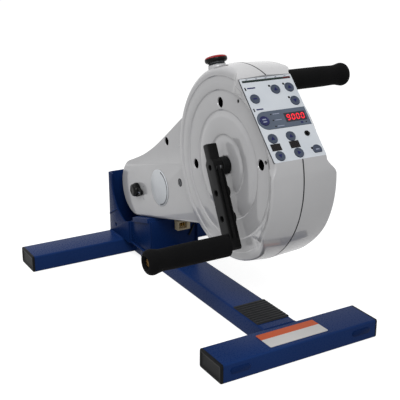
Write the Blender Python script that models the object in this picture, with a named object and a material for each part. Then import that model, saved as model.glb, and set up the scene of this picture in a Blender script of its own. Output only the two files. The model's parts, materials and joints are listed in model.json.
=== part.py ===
"""Active passive trainer: a motor-driven arm and leg cycle on a welded tube base.

The frame's origin is the middle of the object's outer box, on the floor. +X is the
object's right as its rider sees it from behind, +Y runs from the console to the rear
foot and +Z is up. Lengths are metres and angles are degrees. The head and its bracket
stand on the rear of the base, so their places along Y are given ahead of the base's
rear face, and places on the drum by radius and angle about the crank axis, where
0 degrees points to the rear and 90 degrees points up.
"""

import math

import bmesh
import bpy
from mathutils import Matrix, Vector

# Gap between pieces that touch, and how far a cutter runs past what it cuts
GAP = 0.0003
CUT_PAST = 0.010

# Welded base of rectangular tube
TUBE_WIDTH = 0.060
TUBE_HEIGHT = 0.030
TUBE_WALL = 0.002
TUBE_CORNER = 0.003
BASE_LENGTH = 0.561
FRONT_FOOT_LENGTH = 0.273
REAR_FOOT_LENGTH = 0.458
CAP_THICKNESS = 0.004
CAP_ROUND = 0.0018
CAP_PLUG_LENGTH = 0.014
PATCH_BEHIND_FOOT = 0.016
PATCH_LENGTH = 0.070
PATCH_THICKNESS = 0.0012
STRIP_LENGTH = 0.104
STRIP_WIDTH = 0.040
STRIP_SETBACK = 0.0085
STRIP_THICKNESS = 0.0006
FILM_CORNER = 0.002
CLIP_LENGTH = 0.033
CLIP_WIDTH = 0.009
CLIP_THICKNESS = 0.0015
CLIP_SPREAD = 0.217
CLIP_HEIGHT = 0.0175

# Crank axis and drum
AXIS_AHEAD = 0.4204
AXIS_HEIGHT = 0.268
DRUM_RADIUS = 0.147
DRUM_DRAFT = 0.0025
DRUM_STEPS = 60
SEAM_X = -0.016
LEFT_DEPTH = 0.033
RIGHT_DEPTH = 0.059
HOUSING_WALL = 0.003
RING_STEP = 0.0015
HUB_RECESS = 0.002
HUB_RECESS_RADIUS = 0.046
INNER_RING_RADIUS = 0.082
RING_RAMP = 0.0008
CHEEK_RADIUS = 0.111
CHEEK_RIM_BAND = 0.0155
LEFT_CHEEK_SLOPE = 0.55
RIGHT_CHEEK_SLOPE = 0.935
RIM_FILLET = 0.009
CONSOLE_FILLET = 0.003
FILLET_STEPS = 2

# Console face
CONSOLE_ANGLE = 137.0
CONSOLE_END_MARGIN = 0.0061
CONSOLE_SIDE_MARGIN = 0.0005
PANEL_LENGTH = 0.1323
PANEL_WIDTH = 0.086
PANEL_THICKNESS = 0.003
PANEL_LEDGE = 0.006
FRONT_PAD_FLARE = 0.018

# Snout behind the drum, over the bracket. Its top edge is given ahead of the rear face and
# above the middle of the snout's round end
SNOUT_END_AHEAD = 0.081
SNOUT_END_BELOW_AXIS = 0.132
SNOUT_END_RADIUS = 0.053
SNOUT_SLOPE = 14.2
SNOUT_TOP_ANGLE = 62.0
SNOUT_TOP = ((0.113, 0.071), (0.155, 0.094), (0.194, 0.120), (0.256, 0.165), (0.326, 0.214))
SNOUT_ROOT_AHEAD = 0.381
SNOUT_LEFT_DEPTH = 0.021
SNOUT_RIGHT_DEPTH = 0.056
SNOUT_FILLET = 0.004

# Screw columns that hold the halves of the head together
COLUMN_ORBIT = 0.092
COLUMN_ANGLES = (78.0, 166.0, 258.0, 347.0)
COLUMN_RADIUS = 0.0095
RECESS_RADIUS = 0.0065
RECESS_DEPTH = 0.012

# Crank
SHAFT_RADIUS = 0.010
BEARING_RADIUS = 0.021
BEARING_WIDTH = 0.012
BEARING_WALL = 0.004
RIGHT_BOSS_RADIUS = 0.040
RIGHT_BOSS_HEIGHT = 0.006
BOSS_CHAMFER = 0.004
ARM_ANGLE = -116.0
HOLE_PITCH = 0.0385
HOLE_COUNT = 3
HOLE_RADIUS = 0.0045
ARM_WIDTH = 0.023
ARM_THICKNESS = 0.016
ARM_NECK_WIDTH = 0.013
ARM_NECK_END = 0.0345
ARM_NECK_START = 0.012
ARM_SHOULDER = 0.006
ARM_TIP = 0.009
ARM_CORNER = 0.0025
ARM_GROOVE = 0.0035
ARM_GROOVE_DEPTH = 0.0025
ARM_GROOVE_END = 0.0078
SHAFT_SEAT_WALL = 0.0048
ARM_BOSS_RADIUS = 0.009
ARM_BOSS_HEIGHT = 0.004
SPINDLE_BOSS_RADIUS = 0.0075
SPINDLE_BOSS_HEIGHT = 0.0012
ARM_INNER = 0.0595
HUB_RADIUS = 0.0135
SPINDLE_RADIUS = 0.006
GRIP_LENGTH = 0.1325
GRIP_RADIUS = 0.0163
GRIP_WAIST = 0.0156
GRIP_RIM = 0.0184
GRIP_ROUND = 0.004
GRIP_TAPER = 0.045
GRIP_WAIST_INSET = 0.026
GRIP_RIM_INSET = 0.0055
GRIP_NUT_POCKET = 0.009
NUT_RADIUS = 0.0075
NUT_THICKNESS = 0.005

# Belt drive inside the head
PULLEY_RADIUS = 0.070
PULLEY_WIDTH = 0.012
PULLEY_LEFT_X = -0.010
PULLEY_FLANGE = 0.0035
PULLEY_WEB_WIDTH = 0.005
PULLEY_HUB_WALL = 0.008
PULLEY_RIM_WALL = 0.006
PULLEY_LIP = 0.0015
BELT_THICKNESS = 0.002
MOTOR_PULLEY_RADIUS = 0.014
MOTOR_AHEAD = 0.161
MOTOR_BELOW_AXIS = 0.100
MOTOR_RADIUS = 0.032
MOTOR_SHAFT_RADIUS = 0.005
MOTOR_ROOM = 0.003
MOTOR_ROUND = 0.0025
MOTOR_END_WALL = 0.0063

# Emergency stop on the drum's left half, over its middle
STOP_ANGLE = 69.0
STOP_CAP_RADIUS = 0.017
STOP_SEAT_RADIUS = 0.0145
STOP_SEAT_SUNK = 0.008
STOP_COLLAR_RADIUS = 0.0125
STOP_COLLAR_HEIGHT = 0.006
STOP_COLLAR_FOOT = 0.0015
STOP_COLLAR_STEP = 0.001
STOP_NECK_RADIUS = 0.008
STOP_NECK_LENGTH = 0.0105
STOP_STEM_RADIUS = 0.004
STOP_TRAVEL = 0.004
STOP_CAP_TOP = 0.0145
STOP_CAP_CROWN = ((0.6, 0.0006), (0.88, 0.0020), (1.0, 0.0045))
STOP_CAP_EDGE = 0.001
STOP_SOCKET_DEPTH = 0.0018
STOP_BLOCK_ROOM = 0.001
STOP_BLOCK_DEPTH = 0.022
STOP_STEM_SEAT = 0.008

# Speed dial and badge on the snout's left face
DIAL_AHEAD = 0.0990
DIAL_BELOW_AXIS = 0.130
DIAL_RADIUS = 0.0123
DIAL_THICKNESS = 0.011
DIAL_ROUND = 0.0015
DIAL_NOSE_REACH = 0.0205
DIAL_NOSE_TIP = 0.0034
DIAL_NOSE_SPREAD = 138.0
DIAL_NOSE_INSET = 0.0010
DIAL_SHAFT_RADIUS = 0.003
POT_SIDE = 0.018
POT_THICKNESS = 0.009
POT_SHAFT_SHARE = 0.6
BADGE_AHEAD = 0.1855
BADGE_BELOW_AXIS = 0.1025
BADGE_WIDTH = 0.064
BADGE_TALL = 0.0645
BADGE_THICKNESS = 0.0012

# Console pieces: places are shares of the panel's width, right of its middle, and of its
# length, down from its top edge
KEY_RADIUS = 0.00725
KEY_PROUD = 0.0012
KEY_CAP_DEPTH = 0.0022
KEY_STEM_RADIUS = 0.0025
KEY_TRAVEL = 0.0008
KEY_FLAT = 0.0045
KEY_STEPS = 16
KEY_PLACES = {
    "key_upper_left": (-0.364, 0.252),
    "key_upper_centre": (0.087, 0.165),
    "key_top_right": (0.364, 0.159),
    "key_upper_right": (0.360, 0.326),
    "key_display": (-0.364, 0.517),
    "key_lower_left": (-0.355, 0.728),
    "key_lower_centre": (-0.010, 0.728),
    "key_bottom_left": (-0.350, 0.930),
    "key_bottom_centre": (0.008, 0.926),
    "key_bottom_right": (0.369, 0.922),
}
FLAT_SIDED_KEY = "key_bottom_right"
DISPLAY_LEFT_MARGIN = 0.001
DISPLAY_RIGHT_MARGIN = 0.002
DISPLAY_TOP = 0.412
DISPLAY_BOTTOM = 0.622
LED_BAR_MARGIN = 0.003
LED_BAR_WIDTH = 0.003
LED_BAR_DOWN = 0.038
INLAY_DEPTH = 0.001
INLAY_PROUD = 0.0003
JACK_PLACE = (0.312, 0.723)
JACK_RADIUS = 0.004
JACK_BORE = 0.0018
BOARD_GAP = 0.0006
BOARD_SIDE_MARGIN = 0.009
BOARD_THICKNESS = 0.0016
BOARD_DEPTH = 0.0080
POST_RADIUS = 0.003
POST_SPREAD = 0.050
KEY_BEVEL = 0.0006

# Bracket of folded sheet that carries the head
SHEET = 0.003
BRACKET_WIDTH = 0.104
BRACKET_LENGTH = 0.162
BRACKET_FRONT_DROP = 0.039
BRACKET_REAR_RISE = 0.016
BRACKET_ARC_DROP = 0.003
BRACKET_ARC_ROOM = 0.0126
BRACKET_ARC_START = -79.8
TAB_BEHIND_FRONT = 0.027
TAB_LENGTH = 0.014
TAB_DROP = 0.015
WELD_HOLE_AHEAD = 0.028
WELD_HOLE_HEIGHT = 0.050
WELD_HOLE_RADIUS = 0.003
SADDLE_AHEAD = 0.126
SADDLE_LENGTH = 0.062
SADDLE_THICKNESS = 0.008
BOLT_SPREAD = 0.034
BOLT_X = 0.014
BOLT_RADIUS = 0.004
BOLT_HEAD_RADIUS = 0.0065
BOLT_HEAD_HEIGHT = 0.005
BOLT_REACH = 0.012
SOCKET_WIDTH = 0.022
SOCKET_TALL = 0.018
SOCKET_DEPTH = 0.012
SOCKET_X = 0.0155
SOCKET_DROP = 0.015
SOCKET_WALL = 0.003
SOCKET_SLOT_DEPTH = 0.008
LEAD_RADIUS = 0.0016
LEAD_TOP_X = 0.044
LEAD_TOP_DROP = 0.0205
LEAD_FOOT_X = 0.033
LEAD_FOOT_DROP = 0.041

# Places worked out from the sizes above
REAR_Y = (AXIS_AHEAD + DRUM_RADIUS) / 2
FRONT_Y = REAR_Y - BASE_LENGTH
AXIS_Y = REAR_Y - AXIS_AHEAD
LEFT_FACE_X = SEAM_X - LEFT_DEPTH
RIGHT_FACE_X = SEAM_X + RIGHT_DEPTH
SNOUT_LEFT_X = SEAM_X - SNOUT_LEFT_DEPTH
SNOUT_RIGHT_X = SEAM_X + SNOUT_RIGHT_DEPTH
CHEEK_RIM_RADIUS = DRUM_RADIUS - CHEEK_RIM_BAND
CONSOLE_SIDE = PANEL_WIDTH / 2 + CONSOLE_SIDE_MARGIN
CONSOLE_DISTANCE = math.sqrt(DRUM_RADIUS**2 - (PANEL_LENGTH / 2 + CONSOLE_END_MARGIN) ** 2)
CRANK_RADIUS = HOLE_PITCH * HOLE_COUNT
STOP_X = SEAM_X - LEFT_DEPTH / 2
STOP_BLOCK_SIDE = LEFT_DEPTH - 2 * (RING_STEP + HOUSING_WALL + STOP_BLOCK_ROOM)
SNOUT_END = (REAR_Y - SNOUT_END_AHEAD, AXIS_HEIGHT - SNOUT_END_BELOW_AXIS)
MOTOR_PLACE = (REAR_Y - MOTOR_AHEAD, AXIS_HEIGHT - MOTOR_BELOW_AXIS)
BRACKET_FRONT_TOP = SNOUT_END[1] - BRACKET_FRONT_DROP
SADDLE_Y = REAR_Y - SADDLE_AHEAD
BRACKET_FLOOR = TUBE_HEIGHT + GAP
PANEL_BED = PANEL_THICKNESS + GAP

NAVY = (0.010, 0.040, 0.190)
WHITE = (0.78, 0.77, 0.76)
BLACK = (0.012, 0.012, 0.013)
SLATE = (0.075, 0.085, 0.110)
STEEL = (0.55, 0.56, 0.57)


def clear_scene():
    """Removes what the scene starts with."""
    for held in list(bpy.data.objects):
        bpy.data.objects.remove(held, do_unlink=True)


def material(name, colour, roughness=0.5, metallic=0.0):
    """A Principled material of one colour."""
    made = bpy.data.materials.get(name) or bpy.data.materials.new(name)
    made.use_nodes = True
    shader = made.node_tree.nodes["Principled BSDF"]
    shader.inputs["Base Color"].default_value = (*colour, 1.0)
    shader.inputs["Roughness"].default_value = roughness
    shader.inputs["Metallic"].default_value = metallic
    return made


def empty(name, place, turn=0.0):
    """A frame that pieces hang on: its place, and its turn about X in degrees."""
    held = bpy.data.objects.new(name, None)
    held.location = place
    held.rotation_euler = (math.radians(turn), 0, 0)
    bpy.context.scene.collection.objects.link(held)
    return held


def solid(name, mesh, finish=None, place=(0, 0, 0), parent=None, helper=False):
    """Makes an object of a bmesh; a helper only cuts or joins another piece."""
    data = bpy.data.meshes.new(name)
    mesh.to_mesh(data)
    mesh.free()
    made = bpy.data.objects.new(name, data)
    made.location = place
    made.parent = parent
    bpy.context.scene.collection.objects.link(made)
    if helper:
        made.hide_render = True
        made.display_type = "WIRE"
        return made
    data.materials.append(finish)
    data.shade_smooth()
    data.set_sharp_from_angle(angle=math.radians(35))
    return made


def combine(target, other, operation="DIFFERENCE"):
    """Cuts the other object from the target, or joins it with UNION."""
    modifier = target.modifiers.new(f"{operation.lower()} {other.name}", "BOOLEAN")
    modifier.operation = operation
    modifier.object = other


def spun(place, angle, radius):
    """A point at a radius and an angle in degrees about a place."""
    turn = math.radians(angle)
    return place[0] + radius * math.cos(turn), place[1] + radius * math.sin(turn)


def arc(place, radius, start, end, steps):
    """Points along an arc, both ends included."""
    return [spun(place, start + (end - start) * i / steps, radius) for i in range(steps + 1)]


def rounded_rectangle(width, height, corner, steps=2):
    """Outline of a rectangle about the origin with round corners."""
    outline = []
    for index, (across, up) in enumerate(((1, 1), (-1, 1), (-1, -1), (1, -1))):
        middle = (across * (width / 2 - corner), up * (height / 2 - corner))
        outline += arc(middle, corner, 90 * index, 90 * index + 90, steps)
    return outline


def moved(outline, across, up):
    """The outline moved in its own plane."""
    return [(u + across, v + up) for u, v in outline]


def prism(outline, low, high, axis="X"):
    """The outline pushed along an axis. Its plane is YZ, XZ or XY for X, Y or Z."""
    place = {
        "X": lambda u, v, depth: (depth, u, v),
        "Y": lambda u, v, depth: (u, depth, v),
        "Z": lambda u, v, depth: (u, v, depth),
    }[axis]
    mesh = bmesh.new()
    face = mesh.faces.new([mesh.verts.new(place(u, v, low)) for u, v in outline])
    pushed = bmesh.ops.extrude_face_region(mesh, geom=[face])["geom"]
    corners = [item for item in pushed if isinstance(item, bmesh.types.BMVert)]
    bmesh.ops.translate(mesh, verts=corners, vec=place(0, 0, high - low))
    bmesh.ops.recalc_face_normals(mesh, faces=mesh.faces)
    return mesh


def box(width, depth, height, middle=(0, 0, 0)):
    """A box by its sides and its middle."""
    mesh = bmesh.new()
    size = Matrix.Diagonal((width, depth, height, 1))
    bmesh.ops.create_cube(mesh, size=1, matrix=Matrix.Translation(middle) @ size)
    return mesh


def turned(profile, steps=32, axis="Z", ring=False):
    """Spins (radius, along) points about an axis; a ring's profile closes on itself."""
    mesh = bmesh.new()
    points = [mesh.verts.new((radius, 0, along)) for radius, along in profile]
    edges = [mesh.edges.new(pair) for pair in zip(points, points[1:])]
    if ring:
        edges.append(mesh.edges.new((points[-1], points[0])))
    bmesh.ops.spin(
        mesh, geom=points + edges, axis=(0, 0, 1), cent=(0, 0, 0), steps=steps, angle=2 * math.pi
    )
    bmesh.ops.remove_doubles(mesh, verts=mesh.verts, dist=1e-6)
    bmesh.ops.recalc_face_normals(mesh, faces=mesh.faces)
    if axis == "X":
        bmesh.ops.rotate(mesh, verts=mesh.verts, matrix=Matrix.Rotation(math.pi / 2, 3, "Y"))
    return mesh


def rod(radius, low, high, steps=32, axis="Z"):
    """A plain round bar between two places along its axis."""
    return turned(((0, low), (radius, low), (radius, high), (0, high)), steps, axis)


def bevel_edges_at(mesh, axis, value, offset, steps=2):
    """Rounds the edges that lie on the plane where one coordinate has this value."""
    edges = [
        edge for edge in mesh.edges if all(abs(v.co[axis] - value) < 1e-6 for v in edge.verts)
    ]
    bmesh.ops.bevel(
        mesh, geom=edges, offset=offset, segments=steps, affect="EDGES", profile=0.5
    )
    return mesh


def foot_tube(name, length, setback, finish):
    """A hollow rectangular tube across the object, open at both ends for its caps."""
    place = (0, FRONT_Y + setback, TUBE_HEIGHT / 2)
    outer = rounded_rectangle(TUBE_WIDTH, TUBE_HEIGHT, TUBE_CORNER)
    inner = rounded_rectangle(
        TUBE_WIDTH - 2 * TUBE_WALL, TUBE_HEIGHT - 2 * TUBE_WALL, TUBE_CORNER - TUBE_WALL
    )
    made = solid(name, prism(outer, -length / 2, length / 2), finish, place)
    past = length / 2 + CUT_PAST
    combine(made, solid(f"{name}_hollow", prism(inner, -past, past), place=place, helper=True))
    return made


def end_cap(name, side, length, setback, finish):
    """A moulded cap: a rounded plate over the tube's end and a plug inside it."""
    room = 2 * (TUBE_WALL + GAP)
    outline = rounded_rectangle(TUBE_WIDTH, TUBE_HEIGHT, TUBE_CORNER)
    plate = prism(outline, GAP, GAP + CAP_THICKNESS)
    bevel_edges_at(plate, 0, GAP + CAP_THICKNESS, CAP_ROUND)
    plug = rounded_rectangle(TUBE_WIDTH - room, TUBE_HEIGHT - room, TUBE_CORNER - TUBE_WALL)
    inside = prism(plug, -CAP_PLUG_LENGTH, GAP + CAP_THICKNESS / 2)
    for mesh in (plate, inside):
        if side < 0:
            bmesh.ops.rotate(mesh, verts=mesh.verts, matrix=Matrix.Rotation(math.pi, 3, "Z"))
    place = (side * length / 2, FRONT_Y + setback, TUBE_HEIGHT / 2)
    made = solid(name, plate, finish, place)
    combine(made, solid(f"{name}_plug", inside, place=place, helper=True), "UNION")


def build_base():
    """Both feet, the beam between them, the end caps and what lies on the tubes."""
    blue = material("blue_enamel", NAVY, 0.35)
    black = material("black_plastic", BLACK, 0.5)
    front, rear = TUBE_WIDTH / 2, BASE_LENGTH - TUBE_WIDTH / 2
    front_foot = foot_tube("front_foot", FRONT_FOOT_LENGTH, front, blue)
    foot_tube("rear_foot", REAR_FOOT_LENGTH, rear, blue)
    for name, length, setback in (
        ("front", FRONT_FOOT_LENGTH, front),
        ("rear", REAR_FOOT_LENGTH, rear),
    ):
        end_cap(f"{name}_foot_cap_left", -1, length, setback, black)
        end_cap(f"{name}_foot_cap_right", 1, length, setback, black)

    low, high = FRONT_Y + TUBE_WIDTH + GAP, REAR_Y - TUBE_WIDTH - GAP
    outer = moved(rounded_rectangle(TUBE_WIDTH, TUBE_HEIGHT, TUBE_CORNER), 0, TUBE_HEIGHT / 2)
    bore = rounded_rectangle(
        TUBE_WIDTH - 2 * TUBE_WALL, TUBE_HEIGHT - 2 * TUBE_WALL, TUBE_CORNER - TUBE_WALL
    )
    beam = solid("main_beam", prism(outer, low, high, "Y"), blue)
    hollow = prism(moved(bore, 0, TUBE_HEIGHT / 2), low - CUT_PAST, high + CUT_PAST, "Y")
    combine(beam, solid("main_beam_hollow", hollow, helper=True))

    top = TUBE_HEIGHT + GAP
    patch = rounded_rectangle(TUBE_WIDTH - TUBE_CORNER, PATCH_LENGTH, FILM_CORNER)
    patch = moved(patch, 0, FRONT_Y + TUBE_WIDTH + PATCH_BEHIND_FOOT + PATCH_LENGTH / 2)
    solid("anti_slip_patch", prism(patch, top, top + PATCH_THICKNESS, "Z"), black)
    strip = rounded_rectangle(STRIP_LENGTH, STRIP_WIDTH, FILM_CORNER)
    strip = moved(strip, 0, FRONT_Y + STRIP_SETBACK + STRIP_WIDTH / 2)
    orange = material("orange_film", (0.80, 0.16, 0.02), 0.4)
    solid("two_tone_strip", prism(strip, top, top + STRIP_THICKNESS, "Z"), orange)

    for name, side in (("left", -1), ("right", 1)):
        outline = rounded_rectangle(CLIP_LENGTH, CLIP_WIDTH, CLIP_WIDTH / 2 - GAP)
        outline = moved(outline, side * CLIP_SPREAD / 2, CLIP_HEIGHT)
        clip = prism(outline, FRONT_Y - CLIP_THICKNESS, FRONT_Y + TUBE_WALL / 2, "Y")
        combine(front_foot, solid(f"clip_{name}", clip, helper=True), "UNION")


def eased(angle, knots):
    """A value read along knots of (angle, value), with soft turns between them."""
    for (low, before), (high, after) in zip(knots, knots[1:]):
        if low <= angle <= high:
            share = (angle - low) / (high - low)
            return before + (after - before) * share * share * (3 - 2 * share)
    return knots[-1][1]


def side_reach(side, angle, radius):
    """How far the drum's side lies from the seam, at an angle and a radius."""
    left = side < 0
    depth = LEFT_DEPTH if left else RIGHT_DEPTH
    console = CONSOLE_SIDE - depth
    front = FRONT_PAD_FLARE if left else 0.0
    knots = ((-90, 0), (98, 0), (109, console), (166, console), (175, front), (205, front))
    knots += ((235, 0), (270, 0))
    change = eased(angle, knots)
    slope = LEFT_CHEEK_SLOPE if left else RIGHT_CHEEK_SLOPE
    limit = slope * max(radius - CHEEK_RADIUS, 0)
    return depth + max(-limit, min(limit, change))


def rim_fillet(angle):
    """The rim's rounding, which is smaller beside the console and the front pad."""
    small = CONSOLE_FILLET
    knots = ((-90, RIM_FILLET), (92, RIM_FILLET), (108, small), (208, small))
    return eased(angle, knots + ((232, RIM_FILLET), (270, RIM_FILLET)))


def drum_profile(side, angle, inset):
    """(radius, distance from the seam) from the side's middle out to the seam's rim."""
    rim = DRUM_RADIUS - DRUM_DRAFT
    fillet = rim_fillet(angle)
    if inset:
        bed = side_reach(side, angle, 0) - RING_STEP - inset
        points = [(0.0, bed), (CHEEK_RADIUS - inset, bed)]
    else:
        steps = (
            (HUB_RECESS_RADIUS - RING_RAMP, HUB_RECESS),
            (HUB_RECESS_RADIUS + RING_RAMP, 0.0),
            (INNER_RING_RADIUS - RING_RAMP, 0.0),
            (INNER_RING_RADIUS + RING_RAMP, RING_STEP),
            (CHEEK_RADIUS - RING_RAMP, RING_STEP),
            (CHEEK_RADIUS + RING_RAMP, 0.0),
        )
        points = [(0.0, side_reach(side, angle, 0) - HUB_RECESS)]
        points += [(r, side_reach(side, angle, r) - drop) for r, drop in steps]
    cheek = CHEEK_RIM_RADIUS
    points.append((cheek - inset, side_reach(side, angle, cheek) - inset))
    edge = side_reach(side, angle, rim - fillet) - inset
    for step in range(FILLET_STEPS + 1):
        turn = math.radians(90 * step / FILLET_STEPS)
        out = rim - inset - fillet * (1 - math.sin(turn))
        points.append((out, edge - fillet * (1 - math.cos(turn))))
    return points


def drum_half(side, inset=0.0, past=0.0):
    """One half of the drum as a solid; inset makes the hollow that goes inside it."""
    mesh = bmesh.new()
    hub = (0.0, AXIS_Y, AXIS_HEIGHT)
    steps = DRUM_STEPS // 2 if inset else DRUM_STEPS
    angles = [-90 + 360 * i / steps for i in range(steps)]
    rings = [drum_profile(side, angle, inset)[1:] for angle in angles]
    for ring in rings:
        ring.append((DRUM_RADIUS - inset, -past + GAP / 2))
    count = len(rings[0])

    def point(angle, radius, reach):
        turn = math.radians(angle)
        across = SEAM_X + side * reach
        return (across, hub[1] + radius * math.cos(turn), hub[2] + radius * math.sin(turn))

    grid = [
        [mesh.verts.new(point(angle, *ring[k])) for k in range(count)]
        for angle, ring in zip(angles, rings)
    ]
    middle = mesh.verts.new(point(0, *drum_profile(side, 0, inset)[0]))
    for i in range(steps):
        here, there = grid[i], grid[(i + 1) % steps]
        mesh.faces.new((middle, here[0], there[0]))
        for k in range(count - 1):
            mesh.faces.new((here[k], here[k + 1], there[k + 1], there[k]))
    mesh.faces.new([column[-1] for column in grid])
    bmesh.ops.recalc_face_normals(mesh, faces=mesh.faces)
    return mesh


def console_normal():
    """The outward direction of the console's face."""
    turn = math.radians(CONSOLE_ANGLE)
    return Vector((0, math.cos(turn), math.sin(turn)))


def cut_by_console(mesh, depth):
    """Takes off what lies outside a plane this deep under the console's face."""
    normal = console_normal()
    place = Vector((0, AXIS_Y, AXIS_HEIGHT)) + normal * (CONSOLE_DISTANCE - depth)
    everything = mesh.verts[:] + mesh.edges[:] + mesh.faces[:]
    bmesh.ops.bisect_plane(
        mesh, geom=everything, plane_co=place, plane_no=normal, clear_outer=True
    )
    bmesh.ops.holes_fill(mesh, edges=[edge for edge in mesh.edges if edge.is_boundary])
    bmesh.ops.recalc_face_normals(mesh, faces=mesh.faces)
    return mesh


def snout_outline(inset=0.0):
    """The snout's side outline in YZ, drawn in by a wall where inset is given."""
    low = -90 - SNOUT_SLOPE
    outline = arc(SNOUT_END, SNOUT_END_RADIUS - inset, low, SNOUT_TOP_ANGLE, 14)
    drawn_in = spun((0, 0), SNOUT_TOP_ANGLE + 180, inset)
    level = SNOUT_END[1] + drawn_in[1]
    outline += [(REAR_Y - ahead + drawn_in[0], level + rise) for ahead, rise in SNOUT_TOP]
    root = spun(SNOUT_END, low, SNOUT_END_RADIUS - inset)
    run = SNOUT_ROOT_AHEAD - SNOUT_END_AHEAD
    slope = math.tan(math.radians(SNOUT_SLOPE))
    outline.append((root[0] - run, root[1] + run * slope))
    return outline


def snout_half(side, inset=0.0, past=0.0):
    """One half of the snout, rounded along its outer edge."""
    depth = (SNOUT_LEFT_DEPTH if side < 0 else SNOUT_RIGHT_DEPTH) - inset
    low, high = SEAM_X + side * (GAP / 2 - past), SEAM_X + side * depth
    mesh = prism(snout_outline(inset), low, high)
    if inset:
        return mesh
    return bevel_edges_at(mesh, 0, high, SNOUT_FILLET)


def on_drum(x, radius, angle):
    """A place on or in the drum, by its radius and angle."""
    y, z = spun((AXIS_Y, AXIS_HEIGHT), angle, radius)
    return x, y, z


def bearing_hub(side):
    """The ring in the drum's side that holds a bearing, and on the right its raised boss."""
    depth = LEFT_DEPTH if side < 0 else RIGHT_DEPTH
    inner = depth - RING_STEP - HOUSING_WALL
    reach = inner - BEARING_WIDTH - BEARING_WALL
    pocket, wall = BEARING_RADIUS + GAP, BEARING_RADIUS + BEARING_WALL
    bore = SHAFT_RADIUS + 3 * GAP
    sunk = depth - HUB_RECESS - HOUSING_WALL / 2 + RING_STEP / 2
    profile = [(pocket, reach), (wall, reach), (wall, sunk)]
    end = sunk
    if side > 0:
        end = depth + RIGHT_BOSS_HEIGHT
        edge = RIGHT_BOSS_RADIUS - BOSS_CHAMFER
        profile += [(RIGHT_BOSS_RADIUS, sunk), (RIGHT_BOSS_RADIUS, end - BOSS_CHAMFER), (edge, end)]
    profile += [(bore, end), (bore, reach + BEARING_WIDTH), (pocket, reach + BEARING_WIDTH)]
    placed = [(radius, SEAM_X + side * along) for radius, along in profile]
    return turned(placed, 30, "X", ring=True)


def housing_half(name, side, frames, finish):
    """One moulded half of the head: a tray that is open at the seam."""
    made = solid(name, drum_half(side), finish)
    snout = solid(f"{name}_snout", snout_half(side), helper=True)
    combine(made, snout, "UNION")
    face_x = SEAM_X + side * (LEFT_DEPTH if side < 0 else RIGHT_DEPTH)
    hub = (0, AXIS_Y, AXIS_HEIGHT)
    if side < 0:
        seat = rod(STOP_SEAT_RADIUS, -STOP_SEAT_SUNK, 0, 25)
        seat = solid(f"{name}_stop_seat", seat, parent=frames["stop"], helper=True)
        combine(made, seat, "UNION")

    hollow = cut_by_console(
        drum_half(side, HOUSING_WALL, CUT_PAST), PANEL_BED + HOUSING_WALL
    )
    combine(made, solid(f"{name}_hollow", hollow, helper=True))
    inside = snout_half(side, HOUSING_WALL, CUT_PAST)
    combine(made, solid(f"{name}_snout_hollow", inside, helper=True))

    inner_x = face_x - side * (RING_STEP + HOUSING_WALL)
    opened = BEARING_RADIUS + (BEARING_WALL / 2 if side < 0 else 2 * BEARING_WALL)
    hole = rod(opened, face_x - HOUSING_WALL * 3, face_x + HOUSING_WALL * 3, 28, "X")
    combine(made, solid(f"{name}_hub_hole", hole, place=hub, helper=True))
    ring = solid(f"{name}_bearing_hub", bearing_hub(side), place=hub, helper=True)
    combine(made, ring, "UNION")

    seam = SEAM_X + side * GAP / 2
    for index, angle in enumerate(COLUMN_ANGLES):
        low, high = sorted((seam, inner_x + side * HOUSING_WALL / 2))
        place = on_drum(0, COLUMN_ORBIT, angle)
        column = rod(COLUMN_RADIUS, low, high, 10, "X")
        column = solid(f"{name}_column_{index}", column, place=place, helper=True)
        combine(made, column, "UNION")
        if side < 0:
            low, high = face_x - CUT_PAST, face_x + RECESS_DEPTH
            recess = rod(RECESS_RADIUS, low, high, 14, "X")
            recess = solid(f"{name}_recess_{index}", recess, place=place, helper=True)
            combine(made, recess)

    wide, tall = 2 * DRUM_RADIUS, DRUM_RADIUS - CONSOLE_DISTANCE + CUT_PAST
    bed = box(wide, PANEL_LENGTH + 2 * GAP, tall, (0, 0, tall / 2 - PANEL_BED))
    combine(made, solid(f"{name}_panel_bed", bed, parent=frames["console"], helper=True))
    width, length = PANEL_WIDTH - 2 * PANEL_LEDGE, PANEL_LENGTH - 2 * PANEL_LEDGE
    window = box(width, length, 2 * (PANEL_BED + HOUSING_WALL + CUT_PAST))
    combine(made, solid(f"{name}_window", window, parent=frames["console"], helper=True))
    if side < 0:
        hole = rod(STOP_NECK_RADIUS + GAP, -STOP_SEAT_SUNK - CUT_PAST, CUT_PAST, 24)
        combine(made, solid("stop_hole", hole, parent=frames["stop"], helper=True))
        hole = rod(DIAL_SHAFT_RADIUS + GAP, -CUT_PAST, CUT_PAST, 16, "X")
        combine(made, solid("dial_hole", hole, parent=frames["dial"], helper=True))
    else:
        for index, along in enumerate(bolt_places()):
            hole = rod(BOLT_RADIUS + GAP, -CUT_PAST, CUT_PAST, 16)
            place = (BOLT_X, along, 0)
            hole = solid(
                f"bolt_hole_{index}", hole, place=place, parent=frames["saddle"], helper=True
            )
            combine(made, hole)
    return made


def on_panel(across, down):
    """A console place, given by its shares, as x and y in the console's frame."""
    return across * PANEL_WIDTH, (0.5 - down) * PANEL_LENGTH


def key_outline(radius, flat_sided):
    """A key's round outline, with its lower side cut flat where it has one."""
    outline = arc((0, 0), radius, 0, 360 - 360 / KEY_STEPS, KEY_STEPS - 1)
    if not flat_sided:
        return outline
    flat = KEY_FLAT + radius - KEY_RADIUS
    return [(u, max(v, -flat)) for u, v in outline]


def display_outline(grow=0.0):
    """The display field: square on its right, half round on its left."""
    top, bottom = on_panel(0, DISPLAY_TOP)[1], on_panel(0, DISPLAY_BOTTOM)[1]
    radius = (top - bottom) / 2
    middle = (DISPLAY_LEFT_MARGIN + radius - PANEL_WIDTH / 2, (top + bottom) / 2)
    outline = arc(middle, radius + grow, 90, 270, 12)
    right = PANEL_WIDTH / 2 - DISPLAY_RIGHT_MARGIN + grow
    return outline + [(right, bottom - grow), (right, top + grow)]


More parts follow.
